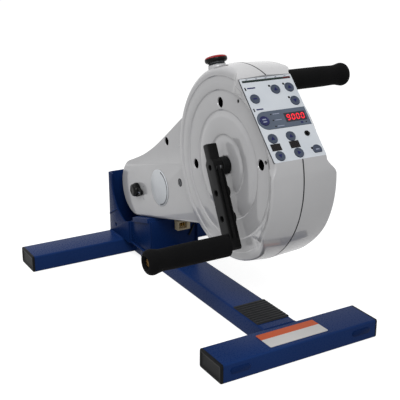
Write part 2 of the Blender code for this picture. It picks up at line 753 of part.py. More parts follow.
def build_console(frame, white, black, slate):
    """The panel with its keys, display, lights and socket, and the board behind it."""
    outline = rounded_rectangle(PANEL_WIDTH, PANEL_LENGTH, FILM_CORNER)
    panel = solid("console_panel", prism(outline, -PANEL_THICKNESS, 0, "Z"), white, parent=frame)
    bed = prism(display_outline(GAP), -INLAY_DEPTH, CUT_PAST, "Z")
    combine(panel, solid("display_bed", bed, parent=frame, helper=True))
    lens = solid(
        "display_lens",
        prism(display_outline(), GAP - INLAY_DEPTH, INLAY_PROUD, "Z"),
        slate,
        parent=frame,
    )
    bar_y = on_panel(0, LED_BAR_DOWN)[1]
    bar_length = PANEL_WIDTH - 2 * LED_BAR_MARGIN
    middle = (0, bar_y, CUT_PAST / 2 - INLAY_DEPTH)
    bed = box(bar_length + 2 * GAP, LED_BAR_WIDTH + 2 * GAP, CUT_PAST, middle)
    combine(panel, solid("led_bar_bed", bed, parent=frame, helper=True))
    thickness = INLAY_DEPTH - GAP + INLAY_PROUD
    middle = (0, bar_y, INLAY_PROUD - thickness / 2)
    solid("led_bar", box(bar_length, LED_BAR_WIDTH, thickness, middle), black, parent=frame)

    navy = material("navy_key", (0.012, 0.016, 0.075), 0.5)
    reach = BOARD_DEPTH - GAP - KEY_TRAVEL
    for name, place in KEY_PLACES.items():
        x, y = on_panel(*place)
        flat_sided = name == FLAT_SIDED_KEY
        hole = prism(key_outline(KEY_RADIUS + GAP, flat_sided), -CUT_PAST, CUT_PAST, "Z")
        hole = solid(f"{name}_hole", hole, place=(x, y, 0), parent=frame, helper=True)
        combine(panel, hole)
        cap = prism(key_outline(KEY_RADIUS, flat_sided), -KEY_CAP_DEPTH, KEY_PROUD, "Z")
        bevel_edges_at(cap, 2, KEY_PROUD, KEY_BEVEL, 1)
        finish = navy if name == "key_display" else slate
        key = solid(name, cap, finish, place=(x, y, 0), parent=frame)
        stem = rod(KEY_STEM_RADIUS, -reach, 0, 8)
        stem = solid(f"{name}_stem", stem, place=(x, y, 0), parent=frame, helper=True)
        combine(key, stem, "UNION")
        if name == "key_display":
            combine(lens, hole)

    x, y = on_panel(*JACK_PLACE)
    jack_low = BOARD_GAP - BOARD_DEPTH
    hole = rod(JACK_RADIUS + GAP, -CUT_PAST, CUT_PAST, 20)
    combine(panel, solid("jack_hole", hole, place=(x, y, 0), parent=frame, helper=True))
    profile = ((JACK_BORE, jack_low), (JACK_RADIUS, jack_low))
    profile += ((JACK_RADIUS, KEY_PROUD), (JACK_BORE, KEY_PROUD))
    solid("jack_socket", turned(profile, 20, ring=True), black, place=(x, y, 0), parent=frame)

    length = PANEL_LENGTH - PANEL_LEDGE / 2
    middle = (0, 0, -BOARD_DEPTH - BOARD_THICKNESS / 2)
    green = material("circuit_green", (0.02, 0.12, 0.05), 0.5)
    board = box(PANEL_WIDTH - 2 * BOARD_SIDE_MARGIN, length, BOARD_THICKNESS, middle)
    board = solid("circuit_board", board, green, parent=frame)
    top = -(PANEL_BED + HOUSING_WALL + GAP)
    for index in range(4):
        across = (index % 2 - 0.5) * POST_SPREAD
        along = (index // 2 - 0.5) * (PANEL_LENGTH - PANEL_LEDGE)
        post = rod(POST_RADIUS, -BOARD_DEPTH - BOARD_THICKNESS / 2, top, 12)
        place = (across, along, 0)
        post = solid(f"board_post_{index}", post, place=place, parent=frame, helper=True)
        combine(board, post, "UNION")


def build_stop_button(frame, black):
    """The emergency stop: its collar and contacts stay, its stem slides, its cap turns."""
    grey = material("grey_collar", (0.32, 0.33, 0.34), 0.35, 0.6)
    red = material("red_cap", (0.45, 0.01, 0.015), 0.4)
    bore = STOP_STEM_RADIUS + GAP
    top = STOP_COLLAR_HEIGHT
    foot = STOP_SEAT_RADIUS - STOP_COLLAR_STEP
    profile = (
        (bore, -STOP_NECK_LENGTH), (STOP_NECK_RADIUS, -STOP_NECK_LENGTH), (STOP_NECK_RADIUS, GAP),
        (foot, GAP), (foot, STOP_COLLAR_FOOT),
        (STOP_COLLAR_RADIUS - STOP_COLLAR_STEP, 2 * STOP_COLLAR_FOOT),
        (STOP_COLLAR_RADIUS, top), (bore, top),
    )
    solid("stop_collar", turned(profile, 20, ring=True), grey, parent=frame)
    low = top + STOP_TRAVEL + GAP
    rim = top + GAP
    inner = STOP_COLLAR_RADIUS + 2 * GAP
    socket = low + STOP_SOCKET_DEPTH
    profile = [(0, STOP_CAP_TOP)]
    profile += [(STOP_CAP_RADIUS * share, STOP_CAP_TOP - drop) for share, drop in STOP_CAP_CROWN]
    profile += [
        (STOP_CAP_RADIUS, rim + STOP_CAP_EDGE), (STOP_CAP_RADIUS - STOP_CAP_EDGE, rim),
        (inner, rim), (inner, low), (bore, low), (bore, socket), (0, socket),
    ]
    solid("stop_button_cap", turned(profile, 24), red, parent=frame)
    end = STOP_NECK_LENGTH + STOP_STEM_SEAT
    solid("stop_button_stem", rod(STOP_STEM_RADIUS, -end, socket - GAP, 16), black, parent=frame)
    block_top = -STOP_NECK_LENGTH - GAP
    middle = (0, 0, block_top - STOP_BLOCK_DEPTH / 2)
    block = box(STOP_BLOCK_SIDE, STOP_BLOCK_SIDE, STOP_BLOCK_DEPTH, middle)
    block = solid("stop_contact_block", block, black, parent=frame)
    bore = rod(bore, -end - STOP_TRAVEL - 2 * GAP, 0, 16)
    combine(block, solid("stop_block_bore", bore, parent=frame, helper=True))


def build_dial(frame, black):
    """The speed dial with its pointer, and the potentiometer that it turns."""
    low = -GAP - DIAL_THICKNESS
    profile = (
        (0, low), (DIAL_RADIUS - DIAL_ROUND, low), (DIAL_RADIUS, low + DIAL_ROUND),
        (DIAL_RADIUS, -GAP), (0, -GAP),
    )
    dial = solid("speed_dial", turned(profile, 20, "X"), black, parent=frame)
    root = spun((0, 0), DIAL_NOSE_SPREAD, DIAL_RADIUS - DIAL_ROUND)
    tip = -DIAL_NOSE_REACH
    outline = [root, (tip + DIAL_NOSE_TIP / 2, DIAL_NOSE_TIP), (tip, DIAL_NOSE_TIP / 2)]
    outline += [(u, -v) for u, v in reversed(outline)]
    nose = prism(outline, low + DIAL_NOSE_INSET, -GAP - DIAL_NOSE_INSET)
    combine(dial, solid("dial_nose", nose, parent=frame, helper=True), "UNION")
    inside = HOUSING_WALL + GAP
    reach = inside + POT_THICKNESS * POT_SHAFT_SHARE
    shaft = rod(DIAL_SHAFT_RADIUS, low / 2, reach, 16, "X")
    combine(dial, solid("dial_shaft", shaft, parent=frame, helper=True), "UNION")
    pot = box(POT_THICKNESS, POT_SIDE, POT_SIDE, (inside + POT_THICKNESS / 2, 0, 0))
    pot = solid("dial_potentiometer", pot, black, parent=frame)
    bore = rod(DIAL_SHAFT_RADIUS + GAP, -CUT_PAST, reach + GAP, 16, "X")
    combine(pot, solid("pot_bore", bore, parent=frame, helper=True))


def build_badge(white):
    """The plain raised oval on the snout's left face."""
    middle = (REAR_Y - BADGE_AHEAD, AXIS_HEIGHT - BADGE_BELOW_AXIS)
    outline = [
        (middle[0] + u * BADGE_WIDTH / 2, middle[1] + v * BADGE_TALL / 2)
        for u, v in arc((0, 0), 1.0, 0, 345, 23)
    ]
    back = SNOUT_LEFT_X - GAP
    mesh = prism(outline, back - BADGE_THICKNESS, back)
    bevel_edges_at(mesh, 0, back - BADGE_THICKNESS, BADGE_THICKNESS / 2, 1)
    solid("badge", mesh, white)


def arm_outline():
    """The arm's outline, along the arm and across it, from its neck to its tip."""
    half, neck = ARM_WIDTH / 2, ARM_NECK_WIDTH / 2
    tip = CRANK_RADIUS + ARM_TIP
    upper = [
        (-ARM_NECK_END, neck), (-ARM_NECK_START, neck), (-ARM_NECK_START + ARM_SHOULDER, half),
        (tip - ARM_CORNER, half), (tip, half - ARM_CORNER),
    ]
    return upper + [(u, -v) for u, v in reversed(upper)]


def build_arm(name, side, frame, finish, dark):
    """A crank arm with its row of holes, its spindle, and the hub disc behind it."""
    inner = ARM_INNER
    low, high = sorted((side * inner, side * (inner + ARM_THICKNESS)))
    arm = solid(f"{name}_arm", prism(arm_outline(), low, high), finish, parent=frame)
    for index in range(1, HOLE_COUNT + 1):
        last = index == HOLE_COUNT
        tall = SPINDLE_BOSS_HEIGHT if last else ARM_BOSS_HEIGHT
        ends = sorted((side * (inner + ARM_GROOVE_DEPTH), side * (inner - tall)))
        place = (0, index * HOLE_PITCH, 0)
        boss = rod(SPINDLE_BOSS_RADIUS if last else ARM_BOSS_RADIUS, *ends, 14, "X")
        boss = solid(f"{name}_arm_boss_{index}", boss, place=place, parent=frame, helper=True)
        combine(arm, boss, "UNION")
        radius = SPINDLE_RADIUS + GAP if last else HOLE_RADIUS
        hole = rod(radius, low - CUT_PAST, high + CUT_PAST, 12, "X")
        hole = solid(f"{name}_arm_hole_{index}", hole, place=place, parent=frame, helper=True)
        combine(arm, hole)
    seat_end = inner + ARM_THICKNESS - SHAFT_SEAT_WALL
    ends = sorted((side * (inner - CUT_PAST), side * seat_end))
    seat = rod(SHAFT_RADIUS + 2 * GAP, *ends, 20, "X")
    combine(arm, solid(f"{name}_arm_seat", seat, parent=frame, helper=True))
    ends = sorted((side * inner, side * (inner + ARM_THICKNESS + CUT_PAST)))
    hole = rod(HOLE_RADIUS, *ends, 12, "X")
    combine(arm, solid(f"{name}_arm_hub_hole", hole, parent=frame, helper=True))
    length = CRANK_RADIUS - ARM_GROOVE_END
    for edge in (-1, 1):
        for track in (-1, 1):
            across = side * (inner + ARM_THICKNESS / 2) + track * ARM_THICKNESS / 4
            middle = (across, length / 2, edge * ARM_WIDTH / 2)
            groove = box(ARM_GROOVE, length, 2 * ARM_GROOVE_DEPTH, middle)
            groove = solid(
                f"{name}_arm_groove_{edge}_{track}", groove, parent=frame, helper=True
            )
            combine(arm, groove)

    face = LEFT_FACE_X + HUB_RECESS if side < 0 else RIGHT_FACE_X + RIGHT_BOSS_HEIGHT
    ends = sorted((face + side * GAP, side * (inner - GAP)))
    bore = SHAFT_RADIUS + GAP
    profile = ((bore, ends[0]), (HUB_RADIUS, ends[0]), (HUB_RADIUS, ends[1]), (bore, ends[1]))
    solid(f"{name}_hub", turned(profile, 24, "X", ring=True), dark, parent=frame)
    return seat_end - GAP


def build_grip(name, side, frame, foam, steel, brass):
    """A foam grip that rolls on its spindle, and the nut that keeps it there."""
    grip_start = ARM_INNER + ARM_THICKNESS + 2 * GAP
    grip_end = grip_start + GRIP_LENGTH
    bore = SPINDLE_RADIUS + GAP
    shape = [
        (0.0, GRIP_RADIUS - GRIP_ROUND), (GRIP_ROUND / 4, GRIP_RADIUS - GRIP_ROUND / 4),
        (GRIP_ROUND, GRIP_RADIUS), (GRIP_LENGTH - GRIP_TAPER, GRIP_RADIUS),
        (GRIP_LENGTH - GRIP_WAIST_INSET, GRIP_WAIST),
        (GRIP_LENGTH - 2 * GRIP_RIM_INSET, GRIP_RIM - GRIP_ROUND / 8),
        (GRIP_LENGTH - GRIP_RIM_INSET, GRIP_RIM),
        (GRIP_LENGTH - GRIP_RIM_INSET / 4, GRIP_RIM - GRIP_ROUND / 2),
        (GRIP_LENGTH, GRIP_RIM - GRIP_ROUND), (GRIP_LENGTH, GRIP_NUT_POCKET),
    ]
    profile = [(radius, side * (grip_start + along)) for along, radius in shape]
    shoulder = grip_end - NUT_THICKNESS - 2 * GAP
    profile += [(radius, side * along) for radius, along in (
        (GRIP_NUT_POCKET, shoulder), (bore, shoulder), (bore, grip_start)
    )]
    place = (0, CRANK_RADIUS, 0)
    solid(f"{name}_grip", turned(profile, 24, "X", ring=True), foam, place=place, parent=frame)
    nut_start = shoulder + GAP
    ends = sorted((side * (ARM_INNER + GAP), side * (nut_start + NUT_THICKNESS - GAP)))
    spindle = rod(SPINDLE_RADIUS, *ends, 16, "X")
    spindle = solid(f"{name}_spindle", spindle, steel, place=place, parent=frame)
    ends = sorted((side * nut_start, side * (nut_start + NUT_THICKNESS)))
    outline = arc((0, 0), NUT_RADIUS, 0, 300, 5)
    nut = solid(f"{name}_nut", prism(outline, *ends), brass, place=place, parent=frame)
    hole = rod(SPINDLE_RADIUS + GAP, ends[0] - CUT_PAST, ends[1] + CUT_PAST, 16, "X")
    combine(nut, solid(f"{name}_nut_bore", hole, place=place, parent=frame, helper=True))


def pulley_rim(radius):
    """A flanged flat rim's profile, from its left side to its right side along X."""
    low, high = PULLEY_LEFT_X, PULLEY_LEFT_X + PULLEY_WIDTH
    flange = radius + PULLEY_FLANGE
    return [
        (flange, low), (flange, low + PULLEY_LIP), (radius, low + PULLEY_LIP),
        (radius, high - PULLEY_LIP), (flange, high - PULLEY_LIP), (flange, high),
    ]


def crank_pulley_profile():
    """The large pulley: a hub on the shaft, a thin web and a flanged rim."""
    low, high = PULLEY_LEFT_X, PULLEY_LEFT_X + PULLEY_WIDTH
    bore, hub = SHAFT_RADIUS + GAP, SHAFT_RADIUS + PULLEY_HUB_WALL
    rim = PULLEY_RADIUS - PULLEY_RIM_WALL
    web = (PULLEY_WIDTH - PULLEY_WEB_WIDTH) / 2
    left = [(bore, low), (hub, low), (hub, low + web), (rim, low + web), (rim, low)]
    right = [(rim, high), (rim, high - web), (hub, high - web), (hub, high), (bore, high)]
    return left + pulley_rim(PULLEY_RADIUS) + right


def belt_outline(gap):
    """The belt's path round both pulleys, this far off them."""
    large = (AXIS_Y, AXIS_HEIGHT)
    small = MOTOR_PLACE
    run = math.dist(large, small)
    lean = math.degrees(math.atan2(small[1] - large[1], small[0] - large[0]))
    spread = math.degrees(math.acos((PULLEY_RADIUS - MOTOR_PULLEY_RADIUS) / run))
    outline = arc(large, PULLEY_RADIUS + gap, lean + spread, lean + 360 - spread, 30)
    return outline + arc(small, MOTOR_PULLEY_RADIUS + gap, lean - spread, lean + spread, 10)


def build_drive(frame, motor_frame, steel, dark, black):
    """The belt drive: the shaft's pulley, the belt, the motor and its pulley."""
    solid("crank_pulley", turned(crank_pulley_profile(), 30, "X", ring=True), dark, parent=frame)
    low, high = PULLEY_LEFT_X, PULLEY_LEFT_X + PULLEY_WIDTH
    ends = (low + PULLEY_LIP + GAP, high - PULLEY_LIP - GAP)
    belt = solid("drive_belt", prism(belt_outline(GAP + BELT_THICKNESS), *ends), black)
    inside = prism(belt_outline(GAP), ends[0] - CUT_PAST, ends[1] + CUT_PAST)
    combine(belt, solid("belt_inside", inside, helper=True))

    profile = [(0, low)] + pulley_rim(MOTOR_PULLEY_RADIUS)
    face = SNOUT_RIGHT_X - HOUSING_WALL - GAP
    motor_start = high + MOTOR_ROOM
    rotor_end = face - MOTOR_END_WALL
    profile += [(MOTOR_SHAFT_RADIUS, high), (MOTOR_SHAFT_RADIUS, rotor_end), (0, rotor_end)]
    solid("motor_pulley", turned(profile, 24, "X"), steel, parent=motor_frame)
    profile = (
        (0, motor_start), (MOTOR_RADIUS - MOTOR_ROUND, motor_start),
        (MOTOR_RADIUS, motor_start + MOTOR_ROUND), (MOTOR_RADIUS, face - MOTOR_ROUND),
        (MOTOR_RADIUS - MOTOR_ROUND, face), (0, face),
    )
    motor = solid("drive_motor", turned(profile, 24, "X"), steel, parent=motor_frame)
    bore = rod(MOTOR_SHAFT_RADIUS + GAP, motor_start - CUT_PAST, rotor_end + GAP, 24, "X")
    combine(motor, solid("motor_bore", bore, parent=motor_frame, helper=True))


def build_bearings(steel):
    """The two ball bearings' rings, each in its pocket in the head."""
    place = (0, AXIS_Y, AXIS_HEIGHT)
    for name, side, face in (("left_bearing", -1, LEFT_FACE_X), ("right_bearing", 1, RIGHT_FACE_X)):
        inner_x = face - side * (RING_STEP + HOUSING_WALL)
        reach = inner_x - side * (BEARING_WIDTH + BEARING_WALL)
        low, high = sorted((reach + side * GAP, reach + side * (BEARING_WIDTH - GAP)))
        bore = SHAFT_RADIUS + GAP
        profile = ((bore, low), (BEARING_RADIUS, low), (BEARING_RADIUS, high), (bore, high))
        solid(name, turned(profile, 24, "X", ring=True), steel, place=place)


def build_crank():
    """Everything that turns with the crank, and the grips on its arms."""
    grey = material("crank_grey", (0.030, 0.031, 0.034), 0.4, 0.5)
    black = material("black_plastic", BLACK, 0.5)
    steel = material("steel", STEEL, 0.3, 1.0)
    brass = material("brass", (0.55, 0.38, 0.14), 0.3, 1.0)
    foam = material("black_foam", (0.016, 0.016, 0.017), 0.9)
    frames = {}
    reaches = []
    for name, side, turn in (("left", -1, ARM_ANGLE), ("right", 1, ARM_ANGLE + 180)):
        frames[name] = empty(f"{name}_arm_frame", (0, AXIS_Y, AXIS_HEIGHT), turn)
        reaches.append(build_arm(name, side, frames[name], grey, black))
        build_grip(name, side, frames[name], foam, steel, brass)
    hub = empty("crank_frame", (0, AXIS_Y, AXIS_HEIGHT))
    solid("crank_shaft", rod(SHAFT_RADIUS, -reaches[0], reaches[1], 24, "X"), steel, parent=hub)
    motor = empty("motor_frame", (0, *MOTOR_PLACE))
    build_drive(hub, motor, steel, grey, black)
    build_bearings(steel)


def snout_bottom(y):
    """Height of the snout's underside at a place along the object."""
    end = spun(SNOUT_END, -90 - SNOUT_SLOPE, SNOUT_END_RADIUS)
    return end[1] + (end[0] - y) * math.tan(math.radians(SNOUT_SLOPE))


def bolt_places():
    """Where the saddle bolts stand along the saddle."""
    return (-BOLT_SPREAD / 2, BOLT_SPREAD / 2)


def bracket_outline():
    """The side plate's outline: low in front, cut round the snout's end, tall behind."""
    arc_place = (SNOUT_END[0], SNOUT_END[1] - BRACKET_ARC_DROP)
    radius = SNOUT_END_RADIUS + BRACKET_ARC_ROOM
    front, tab = REAR_Y - BRACKET_LENGTH, REAR_Y - BRACKET_LENGTH + TAB_BEHIND_FRONT
    arc_end = math.degrees(math.asin(BRACKET_REAR_RISE / radius))
    rear_top = arc_place[1] + BRACKET_REAR_RISE
    outline = [(REAR_Y, BRACKET_FLOOR), (REAR_Y, rear_top)]
    outline += arc(arc_place, radius, arc_end, BRACKET_ARC_START, 14)
    outline += [(front, BRACKET_FRONT_TOP), (front, BRACKET_FLOOR), (tab, BRACKET_FLOOR)]
    outline += [(tab, TAB_DROP), (tab + TAB_LENGTH, TAB_DROP), (tab + TAB_LENGTH, BRACKET_FLOOR)]
    return outline


def build_bracket(saddle):
    """The sheet bracket, its saddle plate and bolts, and the socket on its front."""
    blue = material("blue_enamel", NAVY, 0.35)
    steel = material("steel", STEEL, 0.3, 1.0)
    black = material("black_plastic", BLACK, 0.5)
    for name, side in (("left", -1), ("right", 1)):
        low, high = sorted((side * BRACKET_WIDTH / 2, side * (BRACKET_WIDTH / 2 - SHEET)))
        plate = solid(f"bracket_{name}_side", prism(bracket_outline(), low, high), blue)
        place = (0, REAR_Y - WELD_HOLE_AHEAD, WELD_HOLE_HEIGHT)
        hole = rod(WELD_HOLE_RADIUS, low - CUT_PAST, high + CUT_PAST, 16, "X")
        combine(plate, solid(f"bracket_{name}_hole", hole, place=place, helper=True))
    width = BRACKET_WIDTH - 2 * (SHEET + GAP)
    floor = BRACKET_FLOOR
    tall = BRACKET_FRONT_TOP - floor - RING_STEP
    front = REAR_Y - BRACKET_LENGTH
    solid("bracket_front", box(width, SHEET, tall, (0, front + SHEET / 2, floor + tall / 2)), blue)
    tall = SNOUT_END[1] - BRACKET_ARC_DROP + BRACKET_REAR_RISE - floor
    solid("bracket_back", box(width, SHEET, tall, (0, REAR_Y - SHEET / 2, floor + tall / 2)), blue)
    low, high = front + SHEET + GAP, REAR_Y - SHEET - GAP
    middle = (0, (low + high) / 2, floor + SHEET / 2)
    solid("bracket_floor", box(width, high - low, SHEET, middle), blue)

    middle = (0, 0, -GAP - SADDLE_THICKNESS / 2)
    plate = box(width, SADDLE_LENGTH, SADDLE_THICKNESS, middle)
    plate = solid("saddle_plate", plate, blue, parent=saddle)
    for name, along in zip(("front", "rear"), bolt_places()):
        place = (BOLT_X, along, 0)
        hole = rod(BOLT_RADIUS + GAP, -SADDLE_THICKNESS - CUT_PAST, CUT_PAST, 16)
        hole = solid(f"saddle_hole_{name}", hole, place=place, parent=saddle, helper=True)
        combine(plate, hole)
        under = -2 * GAP - SADDLE_THICKNESS
        profile = (
            (0, under - BOLT_HEAD_HEIGHT), (BOLT_HEAD_RADIUS, under - BOLT_HEAD_HEIGHT),
            (BOLT_HEAD_RADIUS, under), (BOLT_RADIUS, under), (BOLT_RADIUS, BOLT_REACH), (0, BOLT_REACH),
        )
        solid(f"saddle_bolt_{name}", turned(profile, 16), steel, place=place, parent=saddle)

    cream = material("cream_plastic", (0.62, 0.55, 0.40), 0.5)
    level = BRACKET_FRONT_TOP - SOCKET_DROP
    middle = (SOCKET_X, front - GAP - SOCKET_DEPTH / 2, level)
    socket = solid("lead_socket", box(SOCKET_WIDTH, SOCKET_DEPTH, SOCKET_TALL, middle), cream)
    inside = SOCKET_WALL * 2
    middle = (SOCKET_X, front - GAP - SOCKET_DEPTH, level)
    slot = box(SOCKET_WIDTH - inside, 2 * SOCKET_SLOT_DEPTH, SOCKET_TALL - inside, middle)
    combine(socket, solid("lead_socket_slot", slot, helper=True))
    top = Vector((LEAD_TOP_X, 0, BRACKET_FRONT_TOP - LEAD_TOP_DROP))
    foot = Vector((LEAD_FOOT_X, 0, BRACKET_FRONT_TOP - LEAD_FOOT_DROP))
    pin = rod(LEAD_RADIUS, 0, (top - foot).length, 12)
    lean = (top - foot).to_track_quat("Z", "Y").to_matrix()
    bmesh.ops.rotate(pin, verts=pin.verts, matrix=lean)
    place = (foot.x, front - GAP - LEAD_RADIUS, foot.z)
    solid("bracket_pin", pin, black, place=place)


def main():
    """Builds the whole object."""
    clear_scene()
    white = material("white_shell", WHITE, 0.45)
    panel = material("panel_white", (0.72, 0.75, 0.78), 0.35)
    black = material("black_plastic", BLACK, 0.5)
    slate = material("slate_key", SLATE, 0.45)
    turn = CONSOLE_ANGLE - 90
    console_place = Vector((SEAM_X, AXIS_Y, AXIS_HEIGHT)) + console_normal() * CONSOLE_DISTANCE
    saddle_place = (0, SADDLE_Y, snout_bottom(SADDLE_Y))
    stop_place = on_drum(STOP_X, DRUM_RADIUS + GAP, STOP_ANGLE)
    dial_place = (SNOUT_LEFT_X, REAR_Y - DIAL_AHEAD, AXIS_HEIGHT - DIAL_BELOW_AXIS)
    frames = {
        "console": empty("console_frame", console_place, turn),
        "stop": empty("stop_frame", stop_place, STOP_ANGLE - 90),
        "dial": empty("dial_frame", dial_place),
        "saddle": empty("saddle_frame", saddle_place, -SNOUT_SLOPE),
    }
    build_base()
    build_bracket(frames["saddle"])
    housing_half("left_housing", -1, frames, white)
    housing_half("right_housing", 1, frames, white)
    build_console(frames["console"], panel, black, slate)
    build_stop_button(frames["stop"], black)
    build_dial(frames["dial"], black)
    build_badge(panel)
    build_crank()
    bpy.context.view_layer.update()


if __name__ == "__main__":
    main()
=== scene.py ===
"""Looks of the active passive trainer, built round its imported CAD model.

Lengths are metres in the CAD's own frame: +X is the object's right, +Y runs from the
console to the rear foot and +Z is up. Places on the drum are given by radius and angle
about the crank axis, where 0 degrees points to the rear and 90 degrees points up.
"""

import json
import logging
import math
from collections.abc import Iterable, Sequence
from dataclasses import dataclass, field
from enum import Enum

import bmesh
import bpy
from mathutils import Matrix, Vector

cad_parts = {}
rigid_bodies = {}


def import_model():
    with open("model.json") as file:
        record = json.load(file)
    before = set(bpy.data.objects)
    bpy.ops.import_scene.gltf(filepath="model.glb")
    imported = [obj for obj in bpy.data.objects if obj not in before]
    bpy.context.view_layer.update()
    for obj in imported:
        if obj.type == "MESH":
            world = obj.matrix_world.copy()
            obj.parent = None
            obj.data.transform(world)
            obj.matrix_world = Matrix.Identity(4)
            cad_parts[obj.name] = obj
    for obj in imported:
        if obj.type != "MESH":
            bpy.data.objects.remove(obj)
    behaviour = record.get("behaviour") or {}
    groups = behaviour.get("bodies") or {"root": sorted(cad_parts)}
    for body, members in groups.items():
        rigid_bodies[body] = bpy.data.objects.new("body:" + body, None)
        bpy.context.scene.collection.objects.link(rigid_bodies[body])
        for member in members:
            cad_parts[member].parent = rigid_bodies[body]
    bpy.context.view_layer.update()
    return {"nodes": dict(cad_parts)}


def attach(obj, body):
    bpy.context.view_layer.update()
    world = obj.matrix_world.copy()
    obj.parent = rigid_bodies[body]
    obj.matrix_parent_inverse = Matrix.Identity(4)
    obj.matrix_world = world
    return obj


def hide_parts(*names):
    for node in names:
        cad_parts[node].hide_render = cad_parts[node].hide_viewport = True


for held in list(bpy.data.objects):
    bpy.data.objects.remove(held, do_unlink=True)
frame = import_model()
LOG = logging.getLogger("trainer")

Tree = bpy.types.NodeTree
Node = bpy.types.Node
Socket = bpy.types.NodeSocket
Mesh = bmesh.types.BMesh
Thing = bpy.types.Object
Pair = tuple[float, float]
Point = tuple[float, float, float]
Outline = list[Pair]

# The gap between neighbours, how far a cutter passes what it cuts, and how close two
# values are that count as one
GAP = 0.0003
CUT_PAST = 0.01
SAME = 1e-6
# Most of a noise's values lie between these two
NOISE_RANGE = (0.35, 0.65)
# The relief is drawn this much deeper than it is, so that it shows in a small picture
RELIEF_GAIN = 10
COAT_ROUGHNESS = 0.07
# A corner under this many degrees counts as straight, and a rounding takes at most this
# share of a side
STRAIGHT = 18
ROOM = 0.45


def linear(code: str) -> tuple[float, float, float, float]:
    """Turns an sRGB hex colour into the linear one that a shader takes.

    Args:
        code: The colour as "#rrggbb".

    Returns:
        Red, green, blue and an alpha of 1.
    """
    shares = [int(code[i : i + 2], 16) / 255 for i in (1, 3, 5)]
    parts = [s / 12.92 if s <= 0.04045 else ((s + 0.055) / 1.055) ** 2.4 for s in shares]
    return parts[0], parts[1], parts[2], 1.0


def add_node(tree: Tree, kind: str, inputs: dict | None = None, **settings: object) -> Node:
    """Adds a node with its settings, its input values and its links.

    Args:
        tree: The tree that gets the node.
        kind: The node's type name.
        inputs: Each input's value, or the socket that feeds it, by its name or number.
        settings: The node's own properties.

    Returns:
        The node.
    """
    made = tree.nodes.new(kind)
    for name, value in settings.items():
        setattr(made, name, value)
    for key, value in (inputs or {}).items():
        if isinstance(value, Socket):
            tree.links.new(value, made.inputs[key])
        else:
            made.inputs[key].default_value = value
    return made


def blended(tree: Tree, share: Socket, first: object, second: object) -> Socket:
    """Returns the colour between two that a share picks."""
    inputs = {0: share, 6: first, 7: second}
    return add_node(tree, "ShaderNodeMix", inputs, data_type="RGBA").outputs[2]


def worked_out(tree: Tree, operation: str, first: object, second: object) -> Socket:
    """Returns what a Math node makes of two values."""
    return add_node(tree, "ShaderNodeMath", {0: first, 1: second}, operation=operation).outputs[0]


def ranged(tree: Tree, inputs: dict[str, object]) -> Socket:
    """Returns a value laid from one range to another."""
    return add_node(tree, "ShaderNodeMapRange", inputs).outputs[0]


@dataclass(frozen=True)
class Finish:
    """A surface: its colour, a near shade it drifts to, its gloss and its fine relief.

    The drift and the grain are the sizes of their marks in millimetres. The spread is how
    far the roughness strays with the grain.
    """

    name: str
    colour: str
    shade: str
    roughness: float = 0.5
    drift: float = 60.0
    grain: float = 2.5
    relief: float = 0.012
    stretch: Point = (1.0, 1.0, 1.0)
    metallic: float = 0.0
    ior: float = 1.46
    level: float = 0.5
    coat: float = 0.0
    sheen: float = 0.0
    glow: float = 0.0
    spread: float = 0.05

    def material(self) -> bpy.types.Material:
        """Returns the finish's material, made at its first use."""
        found = bpy.data.materials.get(self.name)
        if found:
            return found
        made = bpy.data.materials.new(self.name)
        made.use_nodes = True
        tree = made.node_tree
        shader = tree.nodes["Principled BSDF"]
        if not self.metallic:
            shader.inputs["IOR"].default_value = self.ior
        for socket, value in (
            ("Metallic", self.metallic),
            ("Specular IOR Level", self.level),
            ("Coat Weight", self.coat),
            ("Coat Roughness", COAT_ROUGHNESS),
            ("Sheen Weight", self.sheen),
            ("Emission Color", linear(self.colour)),
            ("Emission Strength", self.glow),
        ):
            shader.inputs[socket].default_value = value
        place = add_node(tree, "ShaderNodeTexCoord").outputs["Object"]
        self.dress(tree, shader, place)
        return made

    def dress(self, tree: Tree, shader: Node, place: Socket) -> None:
        """Links what varies over the surface.

        Args:
            tree: The material's tree.
            shader: Its Principled shader.
            place: The point on the surface, in metres.
        """
        colour = self.drifting(tree, place)
        tree.links.new(colour, shader.inputs["Base Color"])
        self.relieve(tree, shader, self.grained(tree, place))

    def drifting(self, tree: Tree, place: Socket) -> Socket:
        """Returns the colour, which drifts softly between its two shades."""
        cloud = add_node(
            tree, "ShaderNodeTexNoise", {"Vector": place, "Scale": 1000 / self.drift, "Detail": 3.0}
        )
        low, high = NOISE_RANGE
        share = ranged(tree, {"Value": cloud.outputs[0], "From Min": low, "From Max": high})
        return blended(tree, share, linear(self.colour), linear(self.shade))

    def grained(self, tree: Tree, place: Socket) -> Socket:
        """Returns the height of the fine grain, which may be drawn out along an axis."""
        laid = add_node(tree, "ShaderNodeMapping", {"Vector": place, "Scale": self.stretch})
        grain = add_node(
            tree,
            "ShaderNodeTexNoise",
            {"Vector": laid.outputs[0], "Scale": 1000 / self.grain, "Detail": 2.0},
        )
        return grain.outputs[0]

    def relieve(self, tree: Tree, shader: Node, height: Socket) -> None:
        """Gives the shader its bump and a roughness that follows the same grain."""
        bump = add_node(
            tree, "ShaderNodeBump", {"Height": height, "Distance": self.relief / 1000 * RELIEF_GAIN}
        )
        tree.links.new(bump.outputs[0], shader.inputs["Normal"])
        low, high = self.roughness - self.spread, self.roughness + self.spread
        rough = ranged(tree, {"Value": height, "To Min": low, "To Max": high})
        tree.links.new(rough, shader.inputs["Roughness"])


